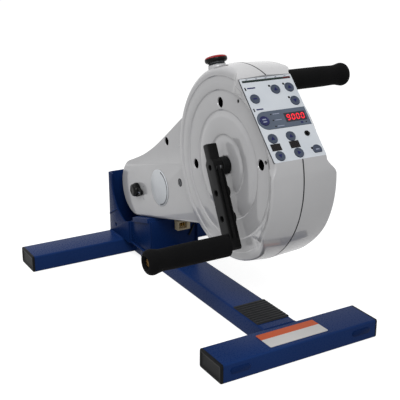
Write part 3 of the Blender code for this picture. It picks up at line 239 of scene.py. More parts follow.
@dataclass(frozen=True)
class PowderCoat(Finish):
    """Baked powder paint: an orange-peel relief, and a paler colour along convex edges."""

    edge: str = "#284581"
    edge_range: Pair = (0.53, 0.62)
    edge_share: float = 0.35

    def drifting(self, tree: Tree, place: Socket) -> Socket:
        """Returns the drifting colour, lightened along the edges."""
        colour = super().drifting(tree, place)
        sharp = add_node(tree, "ShaderNodeNewGeometry").outputs["Pointiness"]
        low, high = self.edge_range
        span = {"Value": sharp, "From Min": low, "From Max": high, "To Max": self.edge_share}
        return blended(tree, ranged(tree, span), colour, linear(self.edge))


@dataclass(frozen=True)
class CellFoam(Finish):
    """Closed-cell foam: round cells with darker walls between them."""

    def grained(self, tree: Tree, place: Socket) -> Socket:
        """Returns the height of the cells, sunk along their walls."""
        cells = add_node(
            tree,
            "ShaderNodeTexVoronoi",
            {"Vector": place, "Scale": 1000 / self.grain},
            feature="DISTANCE_TO_EDGE",
        )
        return cells.outputs[0]


@dataclass(frozen=True)
class TwoToneFilm(Finish):
    """Vinyl film in two colours that meet on one straight line across the object."""

    second: str = "#d4d2d0"
    line_y: float = 0.0

    def drifting(self, tree: Tree, place: Socket) -> Socket:
        """Returns the first colour behind the line and the second in front of it."""
        parts = add_node(tree, "ShaderNodeSeparateXYZ", {"Vector": place})
        behind = worked_out(tree, "GREATER_THAN", parts.outputs["Y"], self.line_y)
        return blended(tree, behind, linear(self.second), linear(self.colour))


@dataclass(frozen=True)
class TrackedBoard(Finish):
    """Circuit laminate: tin-plated tracks in rows over a green resist."""

    track: str = "#6f9a6c"
    track_width: float = 0.04

    def drifting(self, tree: Tree, place: Socket) -> Socket:
        """Returns the resist's green with the tracks over it."""
        rows = add_node(
            tree,
            "ShaderNodeTexBrick",
            {
                "Vector": place,
                "Color1": linear(self.colour),
                "Color2": linear(self.shade),
                "Mortar": linear(self.track),
                "Scale": 1000 / self.grain,
                "Mortar Size": self.track_width,
            },
        )
        return rows.outputs[0]


# ABS, moulded in a polished tool: an even white under a clear gloss that mirrors what is
# near, with a barely seen drift. Its grain of 0.3 mm is drawn at 2.2 mm so that it shows.
SHELL = Finish("moulded ABS shell", "#bdbdbf", "#b7b7b9", 0.34, 90.0, 2.2, 0.004, coat=0.9)
# Painted shade: dark walls in the seam's groove stand for the shadow in the gap between the halves
SEAM_SHADE = Finish("painted seam shade", "#3a3b3d", "#2d2e30", 0.8)
# Polyester film, printed from behind: cooler than the shell, with a soft sheen
PANEL_FILM = Finish("printed polyester film", "#d3d8de", "#ccd2d9", 0.34, 40.0, 1.8, 0.005)
# Painted shade: the panel's edge faces are dark to stand for the shadow in the gap round the panel
PANEL_EDGE_SHADE = Finish("painted panel edge shade", "#33363b", "#2a2c30", 0.8)
# Silicone keys: slate, matt, with a faint bloom
SLATE_KEY = Finish("slate silicone key", "#434c5e", "#3c4454", 0.55, 9.0, 1.0, 0.006, level=0.3)
NAVY_KEY = Finish("navy silicone key", "#22265a", "#1c1f4c", 0.5, 9.0, 1.0, 0.006, level=0.3)
NAVY_PRINT = Finish("navy screen print", "#171a4e", "#1b1e55", 0.5, 12.0, 1.0, 0.002, level=0.2)
PALE_PRINT = Finish("pale screen print", "#9aa1b6", "#8f96ab", 0.5, 12.0, 1.0, 0.002)
GREY_PRINT = Finish("grey pad print", "#8b8d91", "#7f8185", 0.5, 12.0, 1.0, 0.002)
# Acrylic, tinted: a smooth slate field
DISPLAY_FIELD = Finish("tinted acrylic field", "#505c6e", "#4b5667", 0.24, 25.0, 3.0, 0.001)
SMOKED_WINDOW = Finish("smoked acrylic window", "#0e0b0c", "#120f10", 0.2, 25.0, 3.0, 0.001, level=0.2)
# Acrylic over the figures: darker than the field, smooth and nearly without gloss
FIGURE_WINDOW = Finish("tinted figure window", "#2c2a33", "#28262e", 0.24, 25.0, 3.0, 0.001, level=0.3)
# Diode bars: unlit ones show as a brown or green ghost, lit ones glow plain red
UNLIT_SEGMENT = Finish("unlit diode segment", "#191413", "#151110", 0.35, 8.0, 1.0, 0.002, level=0.2)
GREEN_SEGMENT = Finish("unlit green diode", "#10302a", "#0c2722", 0.3, 8.0, 1.0, 0.002)
LIT_SEGMENT = Finish("lit red diode segment", "#ff1c33", "#ff1027", 0.4, 8.0, 1.0, 0.001, glow=0.7)
DARK_RED = Finish("unlit red diode", "#6a0d16", "#5a0a12", 0.3, 8.0, 1.0, 0.002)
# Steel tube and sheet, powder coated: deep blue, a broad gloss and orange peel of 2.5 mm
BLUE_COAT = PowderCoat("blue powder coat", "#0e2858", "#0b224d", 0.28, 120.0, 2.5, 0.004, level=0.05)
# Polyethylene and ABS mouldings in black, with a fine matt grain
BLACK_MOULDED = Finish(
    "moulded black polyamide", "#0f1011", "#0c0d0e", 0.48, 30.0, 1.6, 0.01, level=0.12
)
BLACK_GLOSS = Finish("glossy black moulding", "#08090a", "#0b0c0d", 0.25, 30.0, 1.6, 0.003, level=0.15)
RUBBER = Finish("ribbed black rubber", "#1f2023", "#191a1c", 0.7, 12.0, 1.2, 0.02, level=0.3)
# Closed-cell NBR foam: soot black, no gloss. Cells of 0.4 mm are drawn at 1.5 mm.
FOAM = CellFoam("closed-cell NBR foam", "#0f0f10", "#0c0c0d", 0.92, 25.0, 1.5, 0.02, level=0.1)
# Extruded aluminium, anodised charcoal: lines along the arm catch the light
ARM_METAL = Finish(
    "charcoal anodised aluminium", "#101113", "#0d0e0f", 0.42, 30.0, 2.0, 0.01, level=0.15
)
# Painted shade: the arm's sides, the same metal as its faces, coloured darker
ARM_SIDE_SHADE = Finish("painted shade on arm sides", "#080809", "#060606", 0.45, 30.0, 2.0, 0.01, level=0.15)
# Turned steel: rings round the X axis from the tool
TURNED_STEEL = Finish(
    "turned steel", "#b4b6b9", "#a3a5a8", 0.3, 20.0, 1.0, 0.01, (1.0, 0.02, 0.02), 1.0
)
TURNED_BRASS = Finish(
    "turned brass", "#83642f", "#745727", 0.4, 10.0, 1.0, 0.01, (1.0, 0.02, 0.02), 1.0
)
ZINC_COLLAR = Finish("satin zinc casting", "#505255", "#46484b", 0.38, 8.0, 1.0, 0.01, metallic=0.7)
RED_CAP = Finish("red moulded cap", "#a00c14", "#8d0a11", 0.35, 12.0, 1.5, 0.004, level=0.35)
CREAM_NYLON = Finish("cream nylon socket", "#cfc0a0", "#c3b392", 0.5, 12.0, 1.5, 0.006)
BADGE_FILM = Finish("satin badge film", "#e0e4e8", "#d8dce1", 0.35, 30.0, 2.0, 0.003)
BADGE_LINE = Finish("dark grey badge print", "#54575d", "#4c4f55", 0.4, 30.0, 2.0, 0.002)
VINYL = TwoToneFilm(
    "two-tone vinyl film", "#c9531f", "#c04d1b", 0.38, 40.0, 2.0, 0.003, level=0.2, line_y=-0.245
)
# What is inside the head: green laminate, dull black belt, grey nylon, bright zinc
LAMINATE = TrackedBoard("epoxy glass laminate", "#1c5a34", "#195230", 0.45, 20.0, 6.0, 0.004)
BELT = Finish("polychloroprene belt", "#1a1a1b", "#141415", 0.8, 12.0, 1.0, 0.02, (1.0, 0.1, 0.1))
PULLEY = Finish("glass-filled nylon", "#2f3134", "#292b2e", 0.55, 20.0, 1.2, 0.012)
MOTOR_SHELL = Finish("zinc-plated steel", "#9b9ea2", "#8d9094", 0.36, 15.0, 1.5, 0.01, metallic=1.0)

Part = tuple[Mesh, Finish]


def spun(place: Pair, angle: float, radius: float) -> Pair:
    """Returns the point at a radius and an angle in degrees about a place."""
    turn = math.radians(angle)
    return place[0] + radius * math.cos(turn), place[1] + radius * math.sin(turn)


def arc(place: Pair, radius: float, start: float, end: float, steps: int) -> Outline:
    """Returns the points along an arc, both ends included."""
    return [spun(place, start + (end - start) * i / steps, radius) for i in range(steps + 1)]


def rounded_rectangle(width: float, height: float, corner: float, steps: int = 6) -> Outline:
    """Returns the outline of a rectangle about the origin with round corners."""
    outline: Outline = []
    for index, (across, up) in enumerate(((1, 1), (-1, 1), (-1, -1), (1, -1))):
        middle = (across * (width / 2 - corner), up * (height / 2 - corner))
        outline += arc(middle, corner, 90 * index, 90 * index + 90, steps)
    return outline


def softened(outline: Outline, radius: float, steps: int = 4) -> Outline:
    """Rounds the corners of a closed outline.

    Args:
        outline: Its corners in order.
        radius: How large the rounding is, where the sides leave room for it.
        steps: How many pieces each rounding has.

    Returns:
        The outline with its corners rounded.
    """
    soft: Outline = []
    for index, point in enumerate(outline):
        corner = Vector(point)
        before = Vector(outline[index - 1]) - corner
        after = Vector(outline[(index + 1) % len(outline)]) - corner
        angle = before.angle(after)
        if math.pi - angle < math.radians(STRAIGHT):
            soft.append(point)
            continue
        back = min(radius / math.tan(angle / 2), ROOM * before.length, ROOM * after.length)
        first, last = corner + before.normalized() * back, corner + after.normalized() * back
        for step in range(steps + 1):
            share = step / steps
            here = first.lerp(corner, share).lerp(corner.lerp(last, share), share)
            soft.append((here.x, here.y))
    return soft


def through(points: Sequence[Pair], steps: int = 6) -> Outline:
    """Returns a smooth open curve through the points."""
    ends = [points[0], *points, points[-1]]
    curve: Outline = []
    for a, b, c, d in zip(ends, ends[1:], ends[2:], ends[3:]):
        for step in range(steps):
            t = step / steps
            curve.append(
                tuple(
                    0.5
                    * (
                        2 * b[k]
                        + (c[k] - a[k]) * t
                        + (2 * a[k] - 5 * b[k] + 4 * c[k] - d[k]) * t * t
                        + (3 * b[k] - a[k] - 3 * c[k] + d[k]) * t * t * t
                    )
                    for k in range(2)
                )
            )
    curve.append(points[-1])
    return curve


def lofted(rings: Sequence[Sequence[Sequence[float]]], looped: bool = False) -> Mesh:
    """Joins rings of as many points into one skin; its ends are closed, or meet if looped."""
    mesh = bmesh.new()
    grid = [[mesh.verts.new(point) for point in ring] for ring in rings]
    count = len(grid[0])
    followers = grid[1:] + grid[:1] if looped else grid[1:]
    for here, there in zip(grid, followers):
        for i in range(count):
            j = (i + 1) % count
            mesh.faces.new((here[i], here[j], there[j], there[i]))
    if not looped:
        mesh.faces.new(grid[0])
        mesh.faces.new(grid[-1])
    bmesh.ops.recalc_face_normals(mesh, faces=mesh.faces)
    return mesh


class Axis(Enum):
    """The axis that an outline is pushed along or a profile is spun about."""

    X = "X"
    Y = "Y"
    Z = "Z"

    def place(self, u: float, v: float, depth: float) -> Point:
        """Returns the point at u and v in the plane across the axis, at a depth on it."""
        if self is Axis.X:
            return depth, u, v
        if self is Axis.Y:
            return u, depth, v
        return u, v, depth


def prism(outline: Outline, low: float, high: float, axis: Axis = Axis.X) -> Mesh:
    """Pushes an outline from one depth to another along an axis."""
    return lofted([[axis.place(u, v, depth) for u, v in outline] for depth in (low, high)])


def turned(profile: Sequence[Pair], steps: int = 64, axis: Axis = Axis.Z, ring: bool = False) -> Mesh:
    """Spins a profile about an axis.

    Args:
        profile: Its points, each a radius and a place along the axis.
        steps: How many pieces the turn has.
        axis: The axis, Z or X.
        ring: Whether the profile closes on itself.

    Returns:
        The turned shape.
    """
    mesh = bmesh.new()
    points = [mesh.verts.new((radius, 0, along)) for radius, along in profile]
    edges = [mesh.edges.new(pair) for pair in zip(points, points[1:])]
    if ring:
        edges.append(mesh.edges.new((points[-1], points[0])))
    bmesh.ops.spin(
        mesh, geom=points + edges, axis=(0, 0, 1), cent=(0, 0, 0), steps=steps, angle=2 * math.pi
    )
    bmesh.ops.remove_doubles(mesh, verts=mesh.verts, dist=SAME)
    bmesh.ops.recalc_face_normals(mesh, faces=mesh.faces)
    if axis is Axis.X:
        bmesh.ops.rotate(mesh, verts=mesh.verts, matrix=Matrix.Rotation(math.pi / 2, 3, "Y"))
    return mesh


def rod(
    radius: float, low: float, high: float, steps: int = 48, axis: Axis = Axis.Z, edge: float = 0.0
) -> Mesh:
    """A round bar between two places along its axis; edge widens or narrows its ends."""
    profile = [(0.0, low), (radius - edge, low)]
    if edge:
        profile += [(radius, low + abs(edge)), (radius, high - abs(edge))]
    profile += [(radius - edge, high), (0.0, high)]
    return turned(profile, steps, axis)


def slab(width: float, depth: float, height: float, middle: Sequence[float], edge: float = 0.0) -> Mesh:
    """A block by its sides and its middle, with its edges rounded where edge is given."""
    mesh = bmesh.new()
    size = Matrix.Diagonal((width, depth, height, 1))
    bmesh.ops.create_cube(mesh, size=1, matrix=Matrix.Translation(middle) @ size)
    return rounded(mesh, edge) if edge else mesh


def bevelled(mesh: Mesh, edges: Sequence[bmesh.types.BMEdge], width: float, steps: int) -> Mesh:
    """Rounds the given edges of a shape, or chamfers them where there is one step."""
    bmesh.ops.bevel(mesh, geom=edges, offset=width, segments=steps, affect="EDGES", profile=0.5)
    return mesh


def rounded(mesh: Mesh, width: float, steps: int = 3, angle: float = 40.0) -> Mesh:
    """Rounds every edge of a shape that is sharper than an angle in degrees."""
    limit = math.radians(angle)
    edges = [edge for edge in mesh.edges if edge.calc_face_angle(0.0) > limit]
    return bevelled(mesh, edges, width, steps)


def at_point(x: float, y: float, z: float) -> Matrix:
    """Returns the place at a point, unturned."""
    return Matrix.Translation((x, y, z))


def leaned(angle: float) -> Matrix:
    """Returns a turn by an angle in degrees about the X axis."""
    return Matrix.Rotation(math.radians(angle), 4, "X")


def set_at(mesh: Mesh, place: Matrix) -> Mesh:
    """Moves a shape from its own frame to its place."""
    bmesh.ops.transform(mesh, matrix=place, verts=mesh.verts)
    return mesh


def merged(meshes: Iterable[Mesh]) -> Mesh:
    """Gathers several shapes in one, and frees them."""
    whole = bmesh.new()
    for mesh in meshes:
        data = bpy.data.meshes.new("gathered")
        mesh.to_mesh(data)
        mesh.free()
        whole.from_mesh(data)
        bpy.data.meshes.remove(data)
    return whole


def plain_object(name: str, mesh: Mesh) -> Thing:
    """Makes an object of a shape, and frees the shape."""
    data = bpy.data.meshes.new(name)
    mesh.to_mesh(data)
    mesh.free()
    made = bpy.data.objects.new(name, data)
    bpy.context.scene.collection.objects.link(made)
    return made


def taken(made: Thing, helpers: Sequence[Thing]) -> Mesh:
    """Returns what an object's modifiers make of it, and removes it and its helpers."""
    graph = bpy.context.evaluated_depsgraph_get()
    data = bpy.data.meshes.new_from_object(made.evaluated_get(graph))
    mesh = bmesh.new()
    mesh.from_mesh(data)
    bpy.data.meshes.remove(data)
    for item in (made, *helpers):
        bpy.data.objects.remove(item, do_unlink=True)
    return mesh


class Step(Enum):
    """What a Boolean does with its tool."""

    CUT = "DIFFERENCE"
    JOIN = "UNION"


Carving = tuple[Step, Mesh]


def cut(mesh: Mesh, place: Matrix | None = None) -> Carving:
    """Returns the step that cuts a shape away, at its place where one is given."""
    return Step.CUT, set_at(mesh, place) if place else mesh


def join(mesh: Mesh, place: Matrix | None = None) -> Carving:
    """Returns the step that joins a shape, at its place where one is given."""
    return Step.JOIN, set_at(mesh, place) if place else mesh


def carved(base: Mesh, steps: Sequence[Carving]) -> Mesh:
    """Cuts shapes from a shape, or joins them to it, one after another."""
    target = plain_object("carved", base)
    tools = []
    for index, (step, mesh) in enumerate(steps):
        tool = plain_object(f"tool_{index}", mesh)
        modifier = target.modifiers.new(f"{step.name} {index}", "BOOLEAN")
        modifier.solver = "EXACT"
        modifier.operation = step.value
        modifier.object = tool
        tools.append(tool)
    return taken(target, tools)


def finished(
    name: str,
    parts: Sequence[Part],
    replaces: Sequence[str] = (),
    body: str = "root",
    crease: float = 34.0,
) -> Thing:
    """Makes a finished piece of the object and hands it to the frame.

    Args:
        name: The piece's name.
        parts: Its shapes, each with its finish.
        replaces: The CAD nodes that it stands for.
        body: The CAD body that it moves with.
        crease: The angle in degrees past which an edge stays sharp.

    Returns:
        The piece.
    """
    shapes = []
    finishes: list[Finish] = []
    for mesh, finish in parts:
        if finish not in finishes:
            finishes.append(finish)
        for face in mesh.faces:
            face.material_index = finishes.index(finish)
        shapes.append(mesh)
    made = plain_object(name, merged(shapes))
    for finish in finishes:
        made.data.materials.append(finish.material())
    made.data.shade_smooth()
    made.data.set_sharp_from_angle(angle=math.radians(crease))
    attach(made, body)
    if replaces:
        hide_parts(*replaces)
    LOG.info("%s: %d faces on %s", name, len(made.data.polygons), body)
    return made


def dressed(finish: Finish, *names: str) -> None:
    """Gives CAD nodes that stay as they are a finish."""
    for name in names:
        node = frame["nodes"][name]
        node.data.materials.clear()
        node.data.materials.append(finish.material())
        LOG.info("%s: %s", name, finish.name)


def new_tree(name: str, **inputs: str) -> Tree:
    """Makes an empty tree with an input for each name and kind, and one for the finish."""
    tree = bpy.data.node_groups.new(name, "GeometryNodeTree")
    for label, kind in (*inputs.items(), ("Finish", "Material")):
        tree.interface.new_socket(name=label, in_out="INPUT", socket_type=f"NodeSocket{kind}")
    tree.interface.new_socket(name="Geometry", in_out="OUTPUT", socket_type="NodeSocketGeometry")
    return tree


def lay_shapes(
    tree: Tree, given: bpy.types.NodeOutputs, points: Socket, inputs: dict[str, Socket]
) -> None:
    """Puts the given shape on points, makes the instances real and dresses them.

    Args:
        tree: The tree that ends here.
        given: Its inputs, which hold the shape and the finish.
        points: The points that get a shape each.
        inputs: What turns or scales each shape.
    """
    shape = add_node(tree, "GeometryNodeObjectInfo", {"Object": given["Shape"]})
    placed = add_node(
        tree,
        "GeometryNodeInstanceOnPoints",
        {"Points": points, "Instance": shape.outputs["Geometry"], **inputs},
    )
    real = add_node(tree, "GeometryNodeRealizeInstances", {"Geometry": placed.outputs["Instances"]})
    painted = add_node(
        tree,
        "GeometryNodeSetMaterial",
        {"Geometry": real.outputs["Geometry"], "Material": given["Finish"]},
    )
    add_node(tree, "NodeGroupOutput", {"Geometry": painted.outputs["Geometry"]})


def row_tree() -> Tree:
    """Returns the tree that repeats a shape along a line, turning it from each to the next."""
    name = "shapes in a row or a ring"
    found = bpy.data.node_groups.get(name)
    if found:
        return found
    tree = new_tree(name, Shape="Object", Count="Int", Start="Vector", Step="Vector", Turn="Vector")
    given = add_node(tree, "NodeGroupInput").outputs
    line = add_node(
        tree,
        "GeometryNodeMeshLine",
        {"Count": given["Count"], "Start Location": given["Start"], "Offset": given["Step"]},
        mode="OFFSET",
    )
    number = add_node(tree, "GeometryNodeInputIndex").outputs[0]
    turn = add_node(
        tree, "ShaderNodeVectorMath", {0: given["Turn"], "Scale": number}, operation="SCALE"
    )
    lay_shapes(tree, given, line.outputs["Mesh"], {"Rotation": turn.outputs["Vector"]})
    return tree


def path_tree() -> Tree:
    """Returns the tree that lays a shape along a path at a spacing, each a little varied."""
    name = "shapes along a path"
    found = bpy.data.node_groups.get(name)
    if found:
        return found
    tree = new_tree(name, Path="Object", Shape="Object", Spacing="Float", Seed="Int")
    given = add_node(tree, "NodeGroupInput").outputs
    path = add_node(tree, "GeometryNodeObjectInfo", {"Object": given["Path"]})
    points = add_node(
        tree,
        "GeometryNodeCurveToPoints",
        {"Curve": path.outputs["Geometry"], "Length": given["Spacing"]},
        mode="LENGTH",
    ).outputs
    vary = add_node(
        tree,
        "FunctionNodeRandomValue",
        {0: (0.85, 0.85, 0.85), 1: (1.1, 1.1, 1.1), "Seed": given["Seed"]},
        data_type="FLOAT_VECTOR",
    )
    inputs = {"Rotation": points["Rotation"], "Scale": vary.outputs[0]}
    lay_shapes(tree, given, points["Points"], inputs)
    return tree


def grown(tree: Tree, given: dict[str, object], helpers: Sequence[Thing]) -> Mesh:
    """Runs a Geometry Nodes tree and returns the shape that it makes.

    Args:
        tree: The tree.
        given: Its inputs' values by their names.
        helpers: The objects that it reads, which are removed afterwards.

    Returns:
        The shape, with its instances made real.
    """
    holder = plain_object("grown", bmesh.new())
    modifier = holder.modifiers.new(tree.name, "NODES")
    modifier.node_group = tree
    for socket in tree.interface.items_tree:
        if socket.item_type == "SOCKET" and socket.name in given:
            modifier[socket.identifier] = given[socket.name]
    return taken(holder, helpers)


def row_of(
    shape: Mesh,
    count: int,
    finish: Finish,
    start: Sequence[float] = (0, 0, 0),
    step: Sequence[float] = (0, 0, 0),
    turn: Sequence[float] = (0, 0, 0),
) -> Mesh:
    """Repeats a shape in a row, or in a ring where it is only turned."""
    held = plain_object("repeated", shape)
    given = {
        "Shape": held,
        "Count": count,
        "Start": Vector(start),
        "Step": Vector(step),
        "Turn": Vector(turn),
        "Finish": finish.material(),
    }
    return grown(row_tree(), given, [held])


def weld_bead(points: Sequence[Sequence[float]], width: float, finish: Finish, seed: int) -> Mesh:
    """Lays the overlapping scales of a weld along a path.

    Args:
        points: The corners of the path.
        width: The width of the bead.
        finish: The paint over it.
        seed: What the scales' small differences start from.

    Returns:
        The bead.
    """
    curve = bpy.data.curves.new("weld path", "CURVE")
    curve.dimensions = "3D"
    line = curve.splines.new("POLY")
    line.points.add(len(points) - 1)
    for corner, point in zip(line.points, points):
        corner.co = (*point, 1.0)
    path = bpy.data.objects.new("weld path", curve)
    bpy.context.scene.collection.objects.link(path)
    pitch = 0.42 * width
    scale = bmesh.new()
    flat = Matrix.Diagonal((width / 2, width / 2, pitch, 1))
    bmesh.ops.create_icosphere(scale, subdivisions=2, radius=1, matrix=flat)
    shape = plain_object("weld scale", scale)
    given = {"Path": path, "Shape": shape, "Spacing": pitch, "Seed": seed, "Finish": finish.material()}
    return grown(path_tree(), given, [path, shape])


@dataclass
class Studio:
    """The camera at the photograph's place, the floor and the soft light."""

    azimuth: float = -30.158
    elevation: float = 18.776
    place: Point = (-0.6772, -1.1433, 0.6171)
    lens: float = 75.68
    sensor: float = 36.0
    far_clip: float = 30.0
    floor_side: float = 14.0
    floor_height: float = -0.0002
    floor_seen: str = "#cdcdcd"
    floor_lit: str = "#959595"
    floor_lift: float = 0.78
    floor_gloss: float = 0.75
    sky: float = 0.42
    overhead: Point = (-1.0, 0.3, 1.8)
    overhead_power: float = 8.5
    front: Point = (-0.8, -1.7, 1.65)
    front_power: float = 20.0
    lamp_side: float = 0.9

    def build(self) -> None:
        """Sets up the camera, then the floor, the sky and the lamps."""
        self.set_camera()
        self.lay_floor()
        self.light_sky()
        self.hang_lamp("overhead softbox", self.overhead, (0.0, 0.0, 0.1), self.overhead_power)
        self.hang_lamp("front softbox", self.front, (0.0, 0.0, 0.2), self.front_power)
        bpy.context.scene.view_settings.view_transform = "Standard"

    def set_camera(self) -> None:
        """Makes the camera that sees the photograph's frame."""
        data = bpy.data.cameras.new("photograph camera")
        data.lens = self.lens
        data.sensor_width = self.sensor
        data.clip_end = self.far_clip
        camera = bpy.data.objects.new("photograph camera", data)
        camera.location = self.place
        camera.rotation_euler = (math.radians(90 - self.elevation), 0.0, math.radians(self.azimuth))
        bpy.context.scene.collection.objects.link(camera)
        bpy.context.scene.camera = camera

    def pale(self, name: str, seen: str, lit: str) -> bpy.types.Material:
        """Returns a matt material that looks paler than the light it gives back."""
        made = bpy.data.materials.new(name)
        made.use_nodes = True
        tree = made.node_tree
        tree.nodes.remove(tree.nodes["Principled BSDF"])
        share = self.direct_rays(tree, self.floor_gloss)
        bright = add_node(tree, "ShaderNodeBsdfDiffuse", {"Color": linear(seen)})
        lift = add_node(tree, "ShaderNodeEmission", {"Strength": self.floor_lift})
        both = add_node(tree, "ShaderNodeAddShader", {0: bright.outputs[0], 1: lift.outputs[0]})
        plain = add_node(tree, "ShaderNodeBsdfDiffuse", {"Color": linear(lit)})
        mixed = add_node(
            tree, "ShaderNodeMixShader", {0: share, 1: plain.outputs[0], 2: both.outputs[0]}
        )
        tree.links.new(mixed.outputs[0], tree.nodes["Material Output"].inputs["Surface"])
        return made

    def direct_rays(self, tree: Tree, gloss: float) -> Socket:
        """Returns the share of what is seen in a ray: 0 for light, and up to 1 for a view.

        Args:
            tree: The tree that asks.
            gloss: The share for glossy rays. It is 1 for the camera's and through glass.

        Returns:
            The socket that holds the share.
        """
        rays = add_node(tree, "ShaderNodeLightPath").outputs
        part = worked_out(tree, "MULTIPLY", rays["Is Glossy Ray"], gloss)
        first = worked_out(tree, "MAXIMUM", rays["Is Camera Ray"], part)
        return worked_out(tree, "MAXIMUM", first, rays["Is Transmission Ray"])

    def lay_floor(self) -> None:
        """Makes the pale floor that keeps the object's shadow."""
        mesh = bmesh.new()
        bmesh.ops.create_grid(mesh, x_segments=1, y_segments=1, size=self.floor_side / 2)
        floor = plain_object("floor", mesh)
        floor.location = (0, 0, self.floor_height)
        floor.data.materials.append(self.pale("pale floor", self.floor_seen, self.floor_lit))

    def light_sky(self) -> None:
        """Makes an even sky, white where it is seen."""
        world = bpy.data.worlds.new("soft sky")
        world.use_nodes = True
        tree = world.node_tree
        share = self.direct_rays(tree, 1.0)
        strength = ranged(tree, {"Value": share, "To Min": self.sky, "To Max": 1.0})
        inputs = tree.nodes["Background"].inputs
        tree.links.new(strength, inputs["Strength"])
        inputs["Color"].default_value = (1, 1, 1, 1)
        bpy.context.scene.world = world

    def hang_lamp(self, name: str, place: Sequence[float], aim: Sequence[float], power: float) -> None:
        """Makes a square soft lamp that faces a point."""
        data = bpy.data.lights.new(name, "AREA")
        data.size = self.lamp_side
        data.energy = power
        lamp = bpy.data.objects.new(name, data)
        lamp.location = place
        look = Vector(aim) - Vector(place)
        lamp.rotation_euler = look.to_track_quat("-Z", "Y").to_euler()
        bpy.context.scene.collection.objects.link(lamp)


@dataclass
class Base:
    """The welded tube base: two feet, the beam, the caps, the clips and what is stuck on."""

    front_y: float = -0.2773
    rear_y: float = 0.2837
    tube_width: float = 0.06
    tube_height: float = 0.03
    wall: float = 0.002
    corner: float = 0.003
    front_length: float = 0.273
    rear_length: float = 0.458
    cap_thickness: float = 0.004
    plug_length: float = 0.014
    clip_size: Pair = (0.033, 0.009)
    clip_corner: float = 0.0042
    clip_place: Pair = (0.1085, 0.0175)
    weld_width: float = 0.0036
    bracket_half: float = 0.0525
    patch_from: float = 0.076
    patch_length: float = 0.07
    ribs: int = 10
    rib_pitch: float = 0.0069
    rib_size: Pair = (0.0033, 0.001)
    strip_size: Pair = (0.104, 0.04)
    strip_middle: float = 0.0285
    film: float = 0.0005

    def build(self) -> None:
        """Builds every piece of the base."""
        half = self.tube_width / 2
        for name, length, middle in (
            ("front_foot", self.front_length, self.front_y + half),
            ("rear_foot", self.rear_length, self.rear_y - half),
        ):
            place = at_point(0, middle, self.tube_height / 2)
            tube = set_at(self.tube(-length / 2, length / 2, Axis.X), place)
            parts = [(tube, BLUE_COAT)]
            if name == "front_foot":
                parts += [(mesh, BLUE_COAT) for mesh in self.clips()]
            finished(name + "_tube", parts, [name])
            for side, label in ((-1, "left"), (1, "right")):
                self.build_cap(f"{name}_cap_{label}", side, length, middle)
        low = self.front_y + self.tube_width + GAP
        high = self.rear_y - self.tube_width - GAP
        beam = self.tube(low, high, Axis.Y)
        set_at(beam, at_point(0, 0, self.tube_height / 2))
        finished("beam_tube", [(beam, BLUE_COAT)], ["main_beam"])
        finished("base_welds", [(self.welds(), BLUE_COAT)])
        self.build_patch()
        self.build_strip()

    def tube(self, low: float, high: float, axis: Axis) -> Mesh:
        """Returns a hollow tube about an axis through the origin, open at both ends."""
        outer = rounded_rectangle(self.tube_width, self.tube_height, self.corner)
        inner = rounded_rectangle(
            self.tube_width - 2 * self.wall, self.tube_height - 2 * self.wall, self.corner - self.wall
        )
        rings = [(outer, low), (outer, high), (inner, high), (inner, low)]
        rings = [[axis.place(u, v, depth) for u, v in ring] for ring, depth in rings]
        return lofted(rings, looped=True)

    def build_cap(self, name: str, side: int, length: float, middle: float) -> None:
        """Makes an end cap: a softly domed plate and the plug that holds it."""
        rings = []
        plug = self.wall + GAP
        for out, inset in (
            (-self.plug_length, plug + 0.0006),
            (-self.plug_length + 0.001, plug),
            (GAP, plug),
            (GAP, 0.0),
            (0.55 * self.cap_thickness, 0.0),
            (0.8 * self.cap_thickness, 0.0003),
            (0.95 * self.cap_thickness, 0.0009),
            (GAP + self.cap_thickness, 0.002),
            (GAP + self.cap_thickness, 0.003),
            (0.9 * self.cap_thickness, 0.0042),
            (0.7 * self.cap_thickness, 0.006),
            (0.65 * self.cap_thickness, 0.009),
        ):
            outline = rounded_rectangle(
                self.tube_width - 2 * inset,
                self.tube_height - 2 * inset,
                max(self.corner - inset * 0.4, 0.0008),
            )
            rings.append([(side * (length / 2 + out), u, v) for u, v in outline])
        mesh = set_at(lofted(rings), at_point(0, middle, self.tube_height / 2))
        finished(name + "_moulding", [(mesh, BLACK_MOULDED)], [name])

    def clips(self) -> list[Mesh]:
        """Returns the two flat clips on the front foot's front face."""
        made = []
        for side in (-1, 1):
            outline = rounded_rectangle(*self.clip_size, self.clip_corner)
            plate = prism(outline, self.front_y - 0.0015, self.front_y + 0.001, Axis.Y)
            across, up = self.clip_place
            made.append(set_at(rounded(plate, 0.0004, 2), at_point(side * across, 0, up)))
        return made

    def welds(self) -> Mesh:
        """Returns the beads where the beam meets the feet and the bracket meets the base."""
        half, top = self.tube_width / 2, self.tube_height
        beads = []
        for seed, y in enumerate((self.front_y + self.tube_width, self.rear_y - self.tube_width)):
            out, corner = half + 0.0004, self.corner
            rise = [(out, corner), (out, top - corner), (half - corner, top - 0.0006)]
            path = [(-x, y, z) for x, z in rise] + [(x, y, z) for x, z in reversed(rise)]
            beads.append(weld_bead(path, self.weld_width, BLUE_COAT, seed))
        for seed, side in enumerate((-1, 1), 2):
            x = side * self.bracket_half
            path = [(x, self.rear_y - ahead, top) for ahead in (0.057, 0.003)]
            beads.append(weld_bead(path, self.weld_width, BLUE_COAT, seed))
        return merged(beads)

    def build_patch(self) -> None:
        """Makes the rubber patch on the beam, with a row of ribs across it."""
        top = self.tube_height + GAP
        low, length = self.front_y + self.patch_from, self.patch_length
        width = self.tube_width - 0.0012
        outline = rounded_rectangle(width, length, 0.002)
        sheet = prism(outline, top, top + 0.0006, Axis.Z)
        set_at(sheet, at_point(0, low + length / 2, 0))
        rib = slab(width - 0.0005, *self.rib_size, (0, 0, 0), 0.0004)
        start = (0, low + (length - (self.ribs - 1) * self.rib_pitch) / 2, top + 0.0009)
        ribs = row_of(rib, self.ribs, RUBBER, start, (0, self.rib_pitch, 0))
        parts = [(sheet, RUBBER), (ribs, RUBBER)]
        finished("ribbed_patch", parts, ["anti_slip_patch"])

